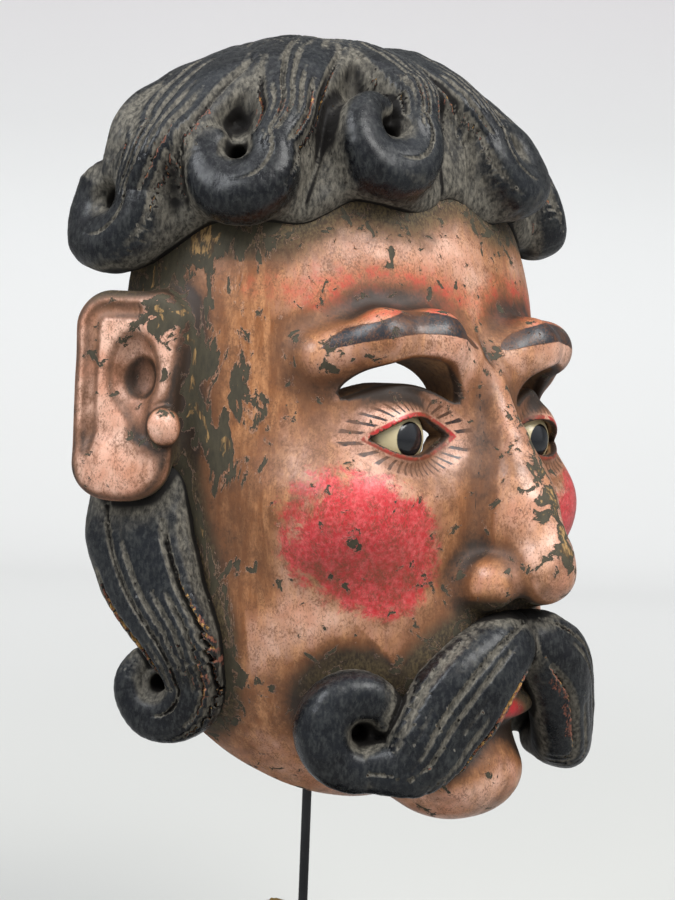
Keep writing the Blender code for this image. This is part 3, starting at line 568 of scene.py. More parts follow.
def hair_mass(p):
    """Crown and locks in one mass, with the drilled holes and hollows over the front and side curls."""
    q = mirrored(p)
    crown = crown_form(p) + 2.1 * crown_grooves(p) - 0.8 * (noise(p, 16.0, 5.0) - 0.3)
    d = carve(crown, hairline(p), 6)
    locks = {name: stroke.distance(q) for name, stroke in LOCK_STROKES.items()}
    for shape in (LOCKS["front"], LOCKS["side"]):
        centre, _ = on_crown(shape["turn"] + 6, shape["height"] + 17, 8.0)
        d = carve(d, lump(q, centre, (11.5, 11.5, 14)), 6)
    for shape, lock in zip(LOCKS.values(), locks.values()):
        centre, _ = on_crown(shape["turn"] - 1, shape["height"] - 5, -2.0)
        d = join(d, join(lock, lump(q, centre, (11, 11, 11)), 2), 6)
    d = tooled(d, p, (0.4, 5.0, 1.0), (1.2, 12.0, 9.0))
    for shape in LOCKS.values():
        centre, out = on_crown(shape["turn"], shape["height"], 3.0)
        d = drilled(d, p, centre, out, 3.2)
    return d, locks


def crown_field(p):
    d, locks = hair_mass(p)
    nearest = np.minimum(np.minimum(locks["front"], locks["side"]), locks["temple"])
    d = np.maximum(d, 0.8 - BITE / 2 - nearest)
    d = np.maximum(d, -(whole_face(p) + BITE))
    return carve(d, RIM_Y - p[1], 1.2)


def lock_field(name, side):
    def field(p):
        d, locks = hair_mass(p)
        rest = [v for key, v in locks.items() if key != name]
        d = np.maximum(d, locks[name] - 0.8 - BITE / 2)
        d = np.maximum(d, locks[name] - np.minimum(rest[0], rest[1]) - BITE)
        d = np.maximum(d, -(whole_face(p) + BITE))
        return np.maximum(d, -BITE / 2 - side * p[0])

    return field


def moustache_mass(p):
    q = mirrored(p)
    root = tube(q, [MOUSTACHE_FILL, MOUSTACHE_ROOT], [9.0, 13.0])
    d = join(MOUSTACHE.distance(q), root, 2.5)
    d = tooled(d, p, (0.3, 5.0, 2.0), (0.8, 12.0, 3.0))
    return drilled(d, p, MOUSTACHE_HOLE, MOUSTACHE_OUT, 2.8)


def whisker_mass(p):
    q = mirrored(p)
    d = join(WHISKER.distance(q), lump(q, WHISKER_FILL, (10, 10, 10)), 2)
    d = tooled(d, p, (0.3, 5.0, 4.0), (0.8, 12.0, 5.0))
    return drilled(d, p, WHISKER_HOLE, WHISKER_OUT, 2.8)


def glued_on(mass, side):
    """One side's block of a mass of hair that is glued to the face."""

    def field(p):
        d = np.maximum(mass(p), -(whole_face(p) + BITE))
        return np.maximum(d, -BITE / 2 - side * p[0])

    return field


def face_skin(p):
    return open_eyes(whole_face(p), p)


def hair_skin(p):
    return hair_mass(p)[0]


def everything(p):
    """The outside of the whole mask, for recesses and exposed edges."""
    return np.minimum.reduce([face_skin(p), hair_skin(p), moustache_mass(p), whisker_mass(p)])


# --- Meshing ---------------------------------------------------------------------------------

BLOCK = 6
CORNERS = [(i, j, k) for i in (0, 1) for j in (0, 1) for k in (0, 1)]


def sample(field, low, shape, voxel):
    """The field on a grid: exact near the surface, and only its sign further off."""
    blocks = [int(np.ceil(n / BLOCK)) for n in shape]
    middles = [low[i] + (np.arange(blocks[i]) + 0.5) * BLOCK * voxel - voxel / 2 for i in range(3)]
    grid = np.meshgrid(*middles, indexing="ij")
    coarse = field([g.ravel().astype(f32) for g in grid]).reshape(blocks)
    values = coarse.astype(f32).repeat(BLOCK, 0).repeat(BLOCK, 1).repeat(BLOCK, 2)
    near = np.argwhere(np.abs(coarse) < BLOCK * voxel * 1.7 + 1.5)
    steps = np.stack(np.meshgrid(*[np.arange(BLOCK)] * 3, indexing="ij"), -1).reshape(-1, 3)
    for chunk in np.array_split(near, max(1, len(near) // 700)):
        index = (chunk[:, None, :] * BLOCK + steps[None, :, :]).reshape(-1, 3)
        p = [(low[i] + index[:, i] * voxel).astype(f32) for i in range(3)]
        values[tuple(index.T)] = field(p)
    return values


def crossing_middles(values, cells):
    """The middle of the places where each cell's edges cross the surface, in steps of the grid."""
    total = np.zeros((len(cells), 3))
    hits = np.zeros(len(cells))
    for a in CORNERS:
        for axis in range(3):
            if a[axis]:
                continue
            b = tuple(1 if i == axis else a[i] for i in range(3))
            va = values[tuple((cells + a).T)]
            vb = values[tuple((cells + b).T)]
            crossing = (va < 0) != (vb < 0)
            t = np.where(crossing, va / np.where(crossing, va - vb, 1), 0)
            spot = np.array(a, float)[None, :].repeat(len(cells), 0)
            spot[:, axis] += t
            total += spot * crossing[:, None]
            hits += crossing
    return total / hits[:, None]


def quads_round_edges(solid, index):
    """A quad round each edge of the grid that crosses the surface, turned to face outward."""
    quads = []
    for axis in range(3):
        u, v = (axis + 1) % 3, (axis + 2) % 3
        first = [slice(1, -1)] * 3
        second = [slice(1, -1)] * 3
        first[axis], second[axis] = slice(0, -1), slice(1, None)
        offset = np.ones(3, int)
        offset[axis] = 0
        edges = np.argwhere(solid[tuple(first)] != solid[tuple(second)]) + offset
        starts_in = solid[tuple(edges.T)]
        corners = []
        for du, dv in ((-1, -1), (0, -1), (0, 0), (-1, 0)):
            cell = edges.copy()
            cell[:, u] += du
            cell[:, v] += dv
            corners.append(index[tuple(cell.T)])
        quad = np.stack(corners, 1)
        quad[~starts_in] = quad[~starts_in][:, ::-1]
        quads.append(quad)
    return np.concatenate(quads)


def skin(field, low, high, voxel):
    """The field's zero surface as quads, by surface nets."""
    low = np.array(low, float)
    shape = [int(np.ceil((high[i] - low[i]) / voxel)) for i in range(3)]
    values = sample(field, low, shape, voxel)
    solid = values < 0
    full = [n - 1 for n in values.shape]
    count = np.zeros(full, np.uint8)
    for i, j, k in CORNERS:
        count += solid[i:full[0] + i, j:full[1] + j, k:full[2] + k]
    cells = np.argwhere((count > 0) & (count < 8))
    index = np.full(full, -1, np.int32)
    index[tuple(cells.T)] = np.arange(len(cells))
    points = low + (cells + crossing_middles(values, cells)) * voxel
    return points, quads_round_edges(solid, index)


def field_slope(points, field):
    """The field and its slope at each point."""
    step = 0.12
    p = columns(points)
    here = field(p)
    slope = []
    for i in range(3):
        ahead = list(p)
        ahead[i] = p[i] + f32(step)
        slope.append((field(ahead) - here) / step)
    return here, np.stack(slope, 1)


def settle(points, field, voxel):
    """Moves each point onto the field's surface, which keeps the edges of cuts crisp."""
    for _ in range(2):
        here, slope = field_slope(points, field)
        steep = np.maximum((slope ** 2).sum(1), 0.2)
        move = -slope * (here / steep)[:, None]
        length = np.maximum(np.linalg.norm(move, axis=1), 1e-6)
        points = points + move * np.minimum(1, 0.45 * voxel / length)[:, None]
    return points


def largest_part(points, quads):
    """Drops loose crumbs: keeps the connected part with the most faces."""
    label = np.arange(len(points))
    while True:
        lowest = label[quads].min(1)
        new = label.copy()
        for i in range(4):
            np.minimum.at(new, quads[:, i], lowest)
        new = new[new]
        if (new == label).all():
            break
        label = new
    names, counts = np.unique(label[quads[:, 0]], return_counts=True)
    keep = label[quads[:, 0]] == names[counts.argmax()]
    quads = quads[keep]
    used = np.zeros(len(points), bool)
    used[quads.ravel()] = True
    renumber = np.cumsum(used) - 1
    return points[used], renumber[quads]


def make_mesh(name, points, quads):
    mesh = bpy.data.meshes.new(name)
    world = points.copy()
    world[:, 2] += CHIN_Z
    world *= MM
    mesh.vertices.add(len(world))
    mesh.vertices.foreach_set("co", world.astype(f32).ravel())
    mesh.loops.add(len(quads) * 4)
    mesh.loops.foreach_set("vertex_index", quads.astype(np.int32).ravel())
    mesh.polygons.add(len(quads))
    mesh.polygons.foreach_set("loop_start", np.arange(0, len(quads) * 4, 4, dtype=np.int32))
    mesh.update(calc_edges=True)
    mesh.shade_smooth()
    return mesh


def put(mesh, name, values):
    """A point attribute that the materials read."""
    attribute = mesh.attributes.new(name, "FLOAT", "POINT")
    attribute.data.foreach_set("value", np.asarray(values, f32))


def vertex_normals(mesh):
    normals = np.zeros(len(mesh.vertices) * 3, f32)
    mesh.vertex_normals.foreach_get("vector", normals)
    return normals.reshape(-1, 3)


def normals_over_cuts(mesh, points, outer):
    """A block's normals as if its skin ran on over its cuts."""
    here, slope = field_slope(points, outer)
    slope = slope / np.maximum(np.linalg.norm(slope, axis=1), 1e-6)[:, None]
    share = clamp01((0.15 - np.abs(here)) / 0.1)[:, None]
    return vertex_normals(mesh) * (1 - share) + slope * share


def describe(mesh, points, normals):
    """Writes the attributes of a carved block: recess, edge, and the painted regions."""
    p = columns(points)
    q = mirrored(p)
    recess = np.zeros(len(points), f32)
    for reach, share in ((1.5, 0.3), (4.0, 0.4), (9.0, 0.3), (18.0, 0.25)):
        away = [p[i] + normals[:, i] * reach for i in range(3)]
        recess += share * clamp01((reach - everything(away)) / reach)
    inward = [p[i] - normals[:, i] * 2.2 for i in range(3)]
    edge = clamp01((everything(inward) + 2.2) / 2.2)
    put(mesh, "recess", recess)
    put(mesh, "edge", edge)
    put(mesh, "depth", whole_face(p))
    whiskers = np.minimum(MOUSTACHE.distance(q), WHISKER.distance(q))
    put(mesh, "hair_gap", np.minimum(hair_mass(p)[0], 1.0 + 1.6 * whiskers))
    strokes = [*LOCK_STROKES.values(), MOUSTACHE, WHISKER]
    grooves = [np.where(far < 1.0, groove, 0) for far, groove in (s.measure(q) for s in strokes)]
    locks_near = np.minimum.reduce([s.distance(q) for s in LOCK_STROKES.values()])
    grooves.append(np.where((locks_near > 0.5) & (p[2] > 170), crown_grooves(p), 0))
    put(mesh, "groove", np.maximum.reduce(grooves))
    put(mesh, "valley", clamp01(locks_near / 4) * (p[2] > 170) * clamp01((244 - p[2]) / 20))
    put_face_regions(mesh, p)


def put_face_regions(mesh, p):
    x, y, h = mirrored(p)
    u, v = eye_plane(p)
    brow_line = 158.5 - 0.011 * (x - 30) ** 2 + 1.2 * (noise(p, 12.0, 4.0) - 0.5)
    brow_half = 3.1 * np.sqrt(clamp01(1 - ((x - 32) / 26) ** 2)) + 0.2
    brow = np.abs(h - brow_line) - brow_half
    brow = np.where((np.abs(x - 32) < 27) & (y < -28), brow, 20)
    put(mesh, "brow", np.clip(brow, -20, 20))
    put(mesh, "lid", np.clip(np.where(y < -43, lid_opening(p), 40), -5, 40))
    put(mesh, "eye_turn", np.arctan2(v, u))
    put(mesh, "eye_far", np.hypot(u, v))
    cheek = np.sqrt(((x - 45) / 23) ** 2 + ((h - 91 - 0.3 * (x - 45)) / 24) ** 2 + ((y + 60) / 38) ** 2)
    put(mesh, "rouge", clamp01(1.25 - cheek))
    above = np.sqrt(((x - 32) / 44) ** 2 + ((h - 167) / 13) ** 2)
    put(mesh, "blush", clamp01(1.2 - above) * (y < -30))
    lips = lump([x, p[1], h], (0, -83, 41), (21, 12, 7.3))
    upper = lump([x, p[1], h], (0, -85, 52.2), (22, 12, 5.6))
    put(mesh, "lips", np.clip(np.minimum(lips, upper), -10, 10))
    on_ear = clamp01(1.3 - ear_form(p) / 2) * (x > 76)
    corner = clamp01(1.2 - np.hypot((y + 17) / 11, (h - EAR_H - 25) / 10)) * on_ear
    put(mesh, "side", clamp01((x - 50) / 20) * clamp01((y + 58) / 30) * (1 - 0.9 * on_ear))
    put(mesh, "chipped", corner)
    put(mesh, "ear", on_ear)
    put(mesh, "nose_ridge", clamp01(1.0 - np.abs(p[0]) / 9) * (y < -81) * clamp01((h - 80) / 8))


# --- Materials -------------------------------------------------------------------------------


class Nodes:
    """Short ways to make and join shader nodes in one material."""

    def __init__(self, name):
        self.material = bpy.data.materials.new(name)
        self.material.use_nodes = True
        self.tree = self.material.node_tree
        self.shader = self.tree.nodes["Principled BSDF"]
        coordinates = self.tree.nodes.new("ShaderNodeTexCoord")
        self.place = coordinates.outputs["Object"]

    def new(self, kind, **settings):
        node = self.tree.nodes.new(kind)
        for key, value in settings.items():
            setattr(node, key, value)
        return node

    def link(self, source, target):
        if isinstance(source, (int, float)):
            target.default_value = source
        elif isinstance(source, tuple):
            target.default_value = (*source, 1.0) if len(source) == 3 else source
        else:
            self.tree.links.new(source, target)

    def math(self, operation, a, b=0.0):
        node = self.new("ShaderNodeMath", operation=operation)
        self.link(a, node.inputs[0])
        self.link(b, node.inputs[1])
        return node.outputs[0]

    def add(self, a, b):
        return self.math("ADD", a, b)

    def sub(self, a, b):
        return self.math("SUBTRACT", a, b)

    def mul(self, a, b):
        return self.math("MULTIPLY", a, b)

    def step(self, value, low, high):
        """Runs smoothly from 0 at low to 1 at high."""
        node = self.new("ShaderNodeMapRange", interpolation_type="SMOOTHSTEP")
        for index, number in enumerate((value, low, high)):
            self.link(number, node.inputs[index])
        return node.outputs[0]

    def attribute(self, name):
        return self.new("ShaderNodeAttribute", attribute_name=name).outputs["Fac"]

    def noise(self, size_mm, detail=3.0, stretch=(1, 1, 1), rough=0.55, shift=0.0, warp=0.0):
        mapping = self.new("ShaderNodeMapping")
        self.link(self.place, mapping.inputs["Vector"])
        mapping.inputs["Scale"].default_value = stretch
        mapping.inputs["Location"].default_value = (shift, shift * 0.7, -shift)
        node = self.new("ShaderNodeTexNoise")
        self.link(mapping.outputs[0], node.inputs["Vector"])
        node.inputs["Scale"].default_value = 1000.0 / size_mm
        node.inputs["Detail"].default_value = detail
        node.inputs["Roughness"].default_value = rough
        node.inputs["Distortion"].default_value = warp
        return node.outputs["Fac"]

    def sum(self, *terms):
        """Adds up terms; one given as (value, weight) is weighed."""
        total = None
        for term in terms:
            term = self.mul(*term) if isinstance(term, tuple) else term
            total = term if total is None else self.add(total, term)
        return total

    def vary(self, value, amount):
        """A value that runs about 0.5 made to run about nought, amount wide."""
        return self.mul(self.sub(value, 0.5), amount)

    def mix(self, factor, a, b):
        node = self.new("ShaderNodeMix", data_type="RGBA")
        self.link(factor, node.inputs[0])
        self.link(a, node.inputs[6])
        self.link(b, node.inputs[7])
        return node.outputs[2]

    def blend(self, factor, a, b):
        node = self.new("ShaderNodeMix", data_type="FLOAT")
        self.link(factor, node.inputs[0])
        self.link(a, node.inputs[2])
        self.link(b, node.inputs[3])
        return node.outputs[0]

    def bump(self, height, strength, distance_mm, normal=None):
        node = self.new("ShaderNodeBump")
        node.inputs["Strength"].default_value = strength
        node.inputs["Distance"].default_value = distance_mm * MM
        self.link(height, node.inputs["Height"])
        if normal is not None:
            self.link(normal, node.inputs["Normal"])
        return node.outputs[0]

    def finish(self, colour, roughness, normal=None, metallic=0.0, coat=0.0):
        self.link(colour, self.shader.inputs["Base Color"])
        self.link(roughness, self.shader.inputs["Roughness"])
        self.link(metallic, self.shader.inputs["Metallic"])
        self.link(coat, self.shader.inputs["Coat Weight"])
        self.shader.inputs["Coat Roughness"].default_value = 0.2
        if normal is not None:
            self.link(normal, self.shader.inputs["Normal"])
        return self.material


def srgb(r, g, b):
    """A colour given as it looks on screen, 0 to 255."""
    made = []
    for value in (r, g, b):
        value = value / 255
        made.append(value / 12.92 if value < 0.04045 else ((value + 0.055) / 1.055) ** 2.4)
    return tuple(made)


def wood_grain(n):
    return n.noise(1.2, 4.0, (1, 1, 0.06), 0.6)


def flesh_marks(n):
    """The attributes and noises that several layers of the flesh paint share."""
    names = ("recess", "edge", "side", "ear", "rouge", "hair_gap", "nose_ridge")
    marks = SimpleNamespace(**{name: n.attribute(name) for name in names})
    marks.broad = n.noise(34, 3.0, warp=0.4)
    marks.streak = n.noise(2.6, 5.0, (1, 1, 0.2), 0.65)
    marks.fine = n.noise(0.8, 4.0, (1, 1, 0.6), 0.65)
    marks.mottle = n.noise(5, 5.0, rough=0.68, shift=5.0)
    return marks


def pink_with_painted_shade(n, marks):
    """Pink paint over a tan undercoat, thin in uneven patches and on the side walls; the tan shows in
    hollows as painted shade, and exposed edges stay pink as painted light.
    """
    pink = n.mix(n.step(n.noise(12, 4.0), 0.35, 0.68), srgb(214, 154, 126), srgb(240, 194, 170))
    tan = n.mix(n.step(marks.streak, 0.35, 0.7), srgb(138, 84, 44), srgb(198, 140, 94))
    # Painted shade: more tan in hollows; painted light: more pink on exposed edges.
    painted_shade_in_hollows = (marks.recess, n.blend(marks.ear, 1.5, 0.7))
    thin_and_painted_shade = n.sum((marks.broad, 0.9), (marks.streak, 0.3), (marks.side, 0.36), painted_shade_in_hollows,
                 (marks.edge, -0.9), (marks.ear, -0.22))
    return n.mix(n.step(thin_and_painted_shade, 0.4, 0.86), pink, tan)


def rouge_and_flush(n, marks, paint):
    """Rouge on the cheeks and a flush over the brows, dabbed on unevenly."""
    dab = n.add(marks.rouge, n.vary(n.noise(11, 7.0, rough=0.8, warp=0.5), 1.1))
    red = n.mix(n.step(n.noise(1.6, 4.0, rough=0.7), 0.35, 0.75), srgb(200, 26, 42), srgb(232, 98, 100))
    paint = n.mix(n.mul(n.step(dab, 0.26, 0.44), 0.95), paint, red)
    flush = n.add(n.attribute("blush"), n.vary(n.noise(7, 6.0, rough=0.75, shift=2.0), 1.1))
    orange = n.mix(n.step(marks.mottle, 0.4, 0.6), srgb(204, 72, 56), srgb(206, 122, 82))
    return n.mix(n.mul(n.step(flush, 0.3, 0.85), 0.85), paint, orange)


def lips_and_lids(n, paint):
    """Red lips, and the red line and black strokes round the eyes."""
    lid = n.attribute("lid")
    paint = n.mix(n.step(n.attribute("lips"), 0.3, -0.3), paint, srgb(196, 20, 34))
    paint = n.mix(n.mul(n.step(lid, 7.5, 6.3), 0.5), paint, srgb(226, 172, 146))
    red_line = n.mul(n.step(lid, 1.9, 1.4), n.step(lid, -1.2, -0.4))
    paint = n.mix(n.mul(red_line, n.step(n.noise(3, 2.0), 0.3, 0.42)), paint, srgb(184, 26, 32))
    turn = n.attribute("eye_turn")
    stroke = n.math("ABSOLUTE", n.sub(n.math("FRACT", n.mul(turn, 5.2)), 0.5))
    lash = n.step(n.add(stroke, n.vary(n.noise(2, 2.0), 0.18)), 0.19, 0.14)
    lash = n.mul(lash, n.mul(n.step(lid, 2.0, 2.5), n.step(lid, 6.6, 5.8)))
    return n.mix(lash, paint, srgb(20, 20, 24))


def brow_stroke(n):
    """Where the one black brush stroke of each brow lies."""
    brow = n.add(n.attribute("brow"), n.vary(n.noise(1.5, 3.0, (1, 1, 0.6)), 0.8))
    return n.step(brow, 0.25, -0.15)


def paint_loss(n, marks):
    """How near each spot is to flaking: the flakes are tall on the side walls."""
    tall = n.noise(7.5, 6.0, (1, 1, 0.36), 0.62, 3.0, 0.6)
    even = n.noise(6, 6.0, (1, 1, 1), 0.62, 7.0, 0.5)
    patchy = n.step(n.noise(48, 2.0, shift=4.0), 0.38, 0.66)
    near_hair = n.step(marks.hair_gap, 16, 3)
    return n.sum(n.blend(marks.side, even, tall), (marks.side, 0.05), (n.mul(marks.side, patchy), 0.1),
                 (patchy, 0.035), (marks.nose_ridge, 0.17), (n.attribute("chipped"), 0.2),
                 (near_hair, 0.07))


def handled(n, marks, paint):
    """Specks, smudges and scuffs all over."""
    speckle = n.noise(0.55, 3.0, (1, 1, 0.7), 0.7, 1.0)
    specks = n.step(n.add(speckle, n.mul(marks.mottle, 0.7)), 0.84, 1.02)
    paint = n.mix(n.mul(specks, 0.65), paint, srgb(104, 64, 36))
    smudge = n.step(n.noise(19, 7.0, (1, 1, 0.7), 0.72, 12.0, 0.3), 0.5, 0.66)
    smudge = n.mul(smudge, n.sub(0.6, n.mul(marks.rouge, 0.45)))
    paint = n.mix(smudge, paint, srgb(104, 66, 38))
    scuff = n.step(n.add(marks.fine, n.vary(marks.streak, 0.5)), 0.5, 0.72)
    return n.mix(n.mul(scuff, 0.38), paint, srgb(112, 70, 42))


def grime_and_painted_shade(n, marks):
    """How much painted shade and grime to lay: most in hollows, as painted shade, and some grime on the
    side walls.
    """
    on_sides = n.mul(marks.side, n.noise(15, 5.0, (1, 1, 0.5), shift=9.0))
    return n.sum((marks.recess, 3.0), n.vary(marks.mottle, 0.8), n.vary(marks.fine, 0.5),
                 n.vary(marks.broad, 0.8), (on_sides, 0.55))


def bared_ground(n, marks, loss, grain):
    """The dark ground under lost paint, worn to ochre wood where most is gone."""
    ground = n.mix(n.noise(1.4, 5.0, (1, 1, 0.35), 0.7), srgb(28, 26, 20), srgb(88, 80, 58))
    ochre = n.mix(n.step(grain, 0.38, 0.62), srgb(66, 50, 30), srgb(170, 134, 84))
    worn_through = n.add(loss, n.mul(n.add(marks.nose_ridge, marks.edge), 0.05))
    return n.mix(n.step(worn_through, 0.77, 0.8), ground, ochre)


def flesh_paint():
    n = Nodes("flesh_paint")
    marks = flesh_marks(n)
    mottle = marks.mottle
    brow = brow_stroke(n)
    paint = rouge_and_flush(n, marks, pink_with_painted_shade(n, marks))
    paint = n.mix(brow, lips_and_lids(n, paint), srgb(26, 30, 36))
    paint = handled(n, marks, paint)

    # Grime and painted shade in the hollows, near black in the deepest, and dust under the hair.
    grime_and_shade = grime_and_painted_shade(n, marks)
    soft = n.step(grime_and_shade, 0.08, 0.85)
    paint = n.mix(n.mul(soft, 0.8), paint, srgb(106, 66, 37))
    paint = n.mix(n.mul(n.step(grime_and_shade, 0.65, 1.4), 0.92), paint, srgb(38, 30, 22))
    under_hair = n.step(n.add(marks.hair_gap, n.vary(mottle, 16.0)), 15.0, 3.0)
    dusty = n.step(n.add(marks.fine, n.vary(mottle, 0.6)), 0.35, 0.7)
    dust = n.mix(dusty, srgb(54, 44, 30), srgb(108, 92, 62))
    paint = n.mix(n.mul(under_hair, 0.85), paint, dust)

    # Flakes with sharp edges, and a lifted rim round each.
    loss = paint_loss(n, marks)
    flake = n.step(loss, 0.636, 0.646)
    rim = n.mul(n.step(loss, 0.618, 0.634), n.sub(1.0, flake))
    grain = wood_grain(n)
    # Painted highlight: a lighter pink band along the lifted rim of each flake.
    paint = n.mix(n.mul(rim, 0.25), paint, srgb(228, 182, 154))
    paint = n.mix(flake, paint, bared_ground(n, marks, loss, grain))

    # Bare wood inside the hollow.
    inside = n.step(n.add(n.attribute("depth"), n.vary(marks.streak, 1.2)), -1.6, -2.2)
    old = n.mix(n.step(n.noise(26, 4.0), 0.35, 0.7), srgb(92, 64, 40), srgb(140, 102, 64))
    old = n.mix(n.mul(n.step(grain, 0.4, 0.75), 0.7), old, srgb(66, 45, 29))

    height = n.sum((flake, -0.8), (rim, 0.2), (marks.streak, 0.18), (mottle, 0.35), (brow, 0.15))
    normal = n.bump(marks.fine, 0.4, 0.12, n.bump(height, 1.0, 0.45))
    gloss = n.add(n.blend(mottle, 0.2, 0.42), n.mul(soft, 0.25))
    for where, roughness in ((flake, 0.72), (under_hair, 0.75), (inside, 0.85)):
        gloss = n.blend(where, gloss, roughness)
    return n.finish(n.mix(inside, paint, old), gloss, normal)


def hair_paint():
    n = Nodes("hair_paint")
    recess, edge = n.attribute("recess"), n.attribute("edge")
    broad = n.noise(26, 4.0, warp=0.5)
    fine = n.noise(1.3, 5.0, (1, 1, 0.5), 0.68)
    mottle = n.noise(5, 5.0, rough=0.7)
    black = n.mix(n.step(broad, 0.35, 0.68), srgb(10, 11, 15), srgb(24, 27, 31))
    dull = n.step(n.add(fine, n.mul(mottle, 0.4)), 0.62, 0.88)
    black = n.mix(n.mul(dull, 0.5), black, srgb(66, 68, 66))

    # Dust lies in the grooves and where the paint has gone dull.
    groove = n.attribute("groove")
    dust = n.sum((recess, 2.2), n.vary(mottle, 0.9), n.vary(broad, 0.9), (groove, 1.4),
                 (n.attribute("valley"), 0.62))
    dust = n.step(dust, 0.3, 1.0)
    dust_colour = n.mix(n.step(fine, 0.3, 0.7), srgb(46, 44, 39), srgb(128, 122, 109))
    colour = n.mix(n.mul(dust, 0.8), black, dust_colour)
    # Painted shade: the deepest recesses are darkened to near black.
    deep = n.step(n.add(recess, n.vary(fine, 0.2)), 0.50, 0.78)
    colour = n.mix(deep, colour, srgb(20, 17, 14))

    # Rubbed edges: short scratches to the pink ground, and chips to ochre wood.
    scratch = n.noise(1.1, 5.0, (1, 1, 0.35), 0.75, 6.0)
    region = n.step(n.noise(24, 2.0, shift=3.0), 0.46, 0.62)
    rub = n.sum(edge, n.vary(scratch, 1.5), (region, 0.22))
    pink = n.step(rub, 0.93, 0.97)
    chip = n.noise(3.4, 6.0, rough=0.75, shift=8.0)
    wood = n.step(n.add(n.mul(edge, 1.1), n.vary(chip, 1.6)), 1.05, 1.08)
    colour = n.mix(n.mul(pink, 0.8), colour, srgb(146, 92, 74))
    colour = n.mix(wood, colour, n.mix(n.step(fine, 0.35, 0.6), srgb(120, 88, 44), srgb(196, 154, 92)))

    height = n.add(n.mul(fine, 0.35), n.mul(mottle, 0.4))
    bare = n.math("MAXIMUM", pink, wood)
    height = n.sub(height, n.mul(bare, 0.5))
    normal = n.bump(height, 0.9, 0.32)
    rough = n.blend(n.step(mottle, 0.3, 0.7), 0.2, 0.34)
    rough = n.add(rough, n.mul(dust, 0.4))
    rough = n.blend(bare, rough, 0.7)
    n.shader.inputs["Specular IOR Level"].default_value = 0.28
    return n.finish(colour, rough, normal)


def eye_paint():
    n = Nodes("eye_paint")
    far = n.attribute("eye_far")
    cream = n.mix(n.noise(4, 4.0), srgb(196, 178, 130), srgb(222, 208, 170))
    edge = n.add(n.step(far, 6.5, 12.5), n.vary(n.noise(2, 4.0), 0.7))
    colour = n.mix(n.mul(n.step(edge, 0.35, 1.0), 0.85), cream, srgb(96, 66, 38))
    iris = n.step(n.add(far, n.vary(n.noise(2, 2.0), 0.3)), 5.5, 5.2)
    colour = n.mix(iris, colour, srgb(16, 18, 22))
    back = n.attribute("back")
    wood = n.mix(n.step(wood_grain(n), 0.35, 0.7), srgb(120, 88, 56), srgb(176, 136, 88))
    colour = n.mix(back, colour, wood)
    normal = n.bump(n.add(n.noise(1.2, 3.0), n.mul(iris, 0.6)), 0.35, 0.15)
    rough = n.blend(back, n.blend(iris, 0.28, 0.16), 0.8)
    return n.finish(colour, rough, normal, coat=0.25)


def plain_wood():
    n = Nodes("whittled_peg")
    grain = n.noise(1.2, 4.0, (1, 1, 0.08), 0.6)
    colour = n.mix(n.step(grain, 0.3, 0.7), srgb(120, 84, 50), srgb(178, 138, 90))
    return n.finish(colour, n.blend(grain, 0.6, 0.85), n.bump(grain, 0.5, 0.2))


def black_steel():
    n = Nodes("black_steel_paint")
    fine = n.noise(0.8, 4.0)
    broad = n.noise(24, 3.0)
    colour = n.mix(n.step(broad, 0.35, 0.7), srgb(24, 25, 27), srgb(40, 41, 43))
    dust = n.step(n.noise(2.0, 5.0, rough=0.75), 0.6, 0.75)
    colour = n.mix(n.mul(dust, 0.25), colour, srgb(120, 116, 108))
    rough = n.add(n.blend(fine, 0.34, 0.46), n.mul(dust, 0.15))
    return n.finish(colour, rough, n.bump(fine, 0.3, 0.05), metallic=0.35)


def brass():
    n = Nodes("dull_brass")
    turned = n.noise(0.5, 3.0, (1, 1, 6))
    tarnish = n.step(n.noise(3, 5.0, rough=0.7), 0.45, 0.7)
    colour = n.mix(tarnish, srgb(196, 158, 92), srgb(140, 104, 56))
    rough = n.add(n.blend(turned, 0.22, 0.34), n.mul(tarnish, 0.2))
    return n.finish(colour, rough, n.bump(turned, 0.2, 0.03), metallic=1.0)


def rubber():
    n = Nodes("matt_rubber")
    fine = n.noise(0.7, 4.0)
    colour = n.mix(fine, srgb(20, 20, 20), srgb(38, 37, 36))
    return n.finish(colour, n.blend(fine, 0.7, 0.9), n.bump(fine, 0.4, 0.08))


def felt():
    n = Nodes("dark_felt")
    fibre = n.noise(0.6, 6.0, rough=0.8)
    colour = n.mix(fibre, srgb(28, 36, 32), srgb(64, 74, 66))
    n.shader.inputs["Sheen Weight"].default_value = 0.5
    return n.finish(colour, 0.95, n.bump(fibre, 0.8, 0.3))


def cord():
    n = Nodes("plant_fibre")
    fibre = n.noise(0.35, 4.0, (1, 1, 0.3))
    colour = n.mix(fibre, srgb(122, 100, 66), srgb(196, 172, 126))
    soiled = n.step(n.noise(14, 3.0), 0.45, 0.7)
    colour = n.mix(n.mul(soiled, 0.5), colour, srgb(80, 64, 44))
    return n.finish(colour, 0.9, n.bump(fibre, 0.7, 0.12))


# --- Pieces ----------------------------------------------------------------------------------


def show(name, mesh, body, material, slot, *nodes):
    mesh.materials.append(material)
    obj = bpy.data.objects.new(name, mesh)
    bpy.context.scene.collection.objects.link(obj)
    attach(obj, body)
    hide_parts(*nodes)
    return obj


def carved(name, field, outer, low, high, material, slot, node, voxel=VOXEL):
    """Meshes a block inside a box; outer is the skin that its paint runs on over."""
    points, quads = largest_part(*skin(field, low, high, voxel))
    points = settle(points, field, voxel)
    mesh = make_mesh(name, points, quads)
    normals = normals_over_cuts(mesh, points, outer)
    describe(mesh, points, normals)
    mesh.normals_split_custom_set_from_vertices(normals)
    return show(name, mesh, "mask", material, slot, node)


MIDDLE_LOW = (-1, -200, 0)  # a half's box starts a little past the middle of the face


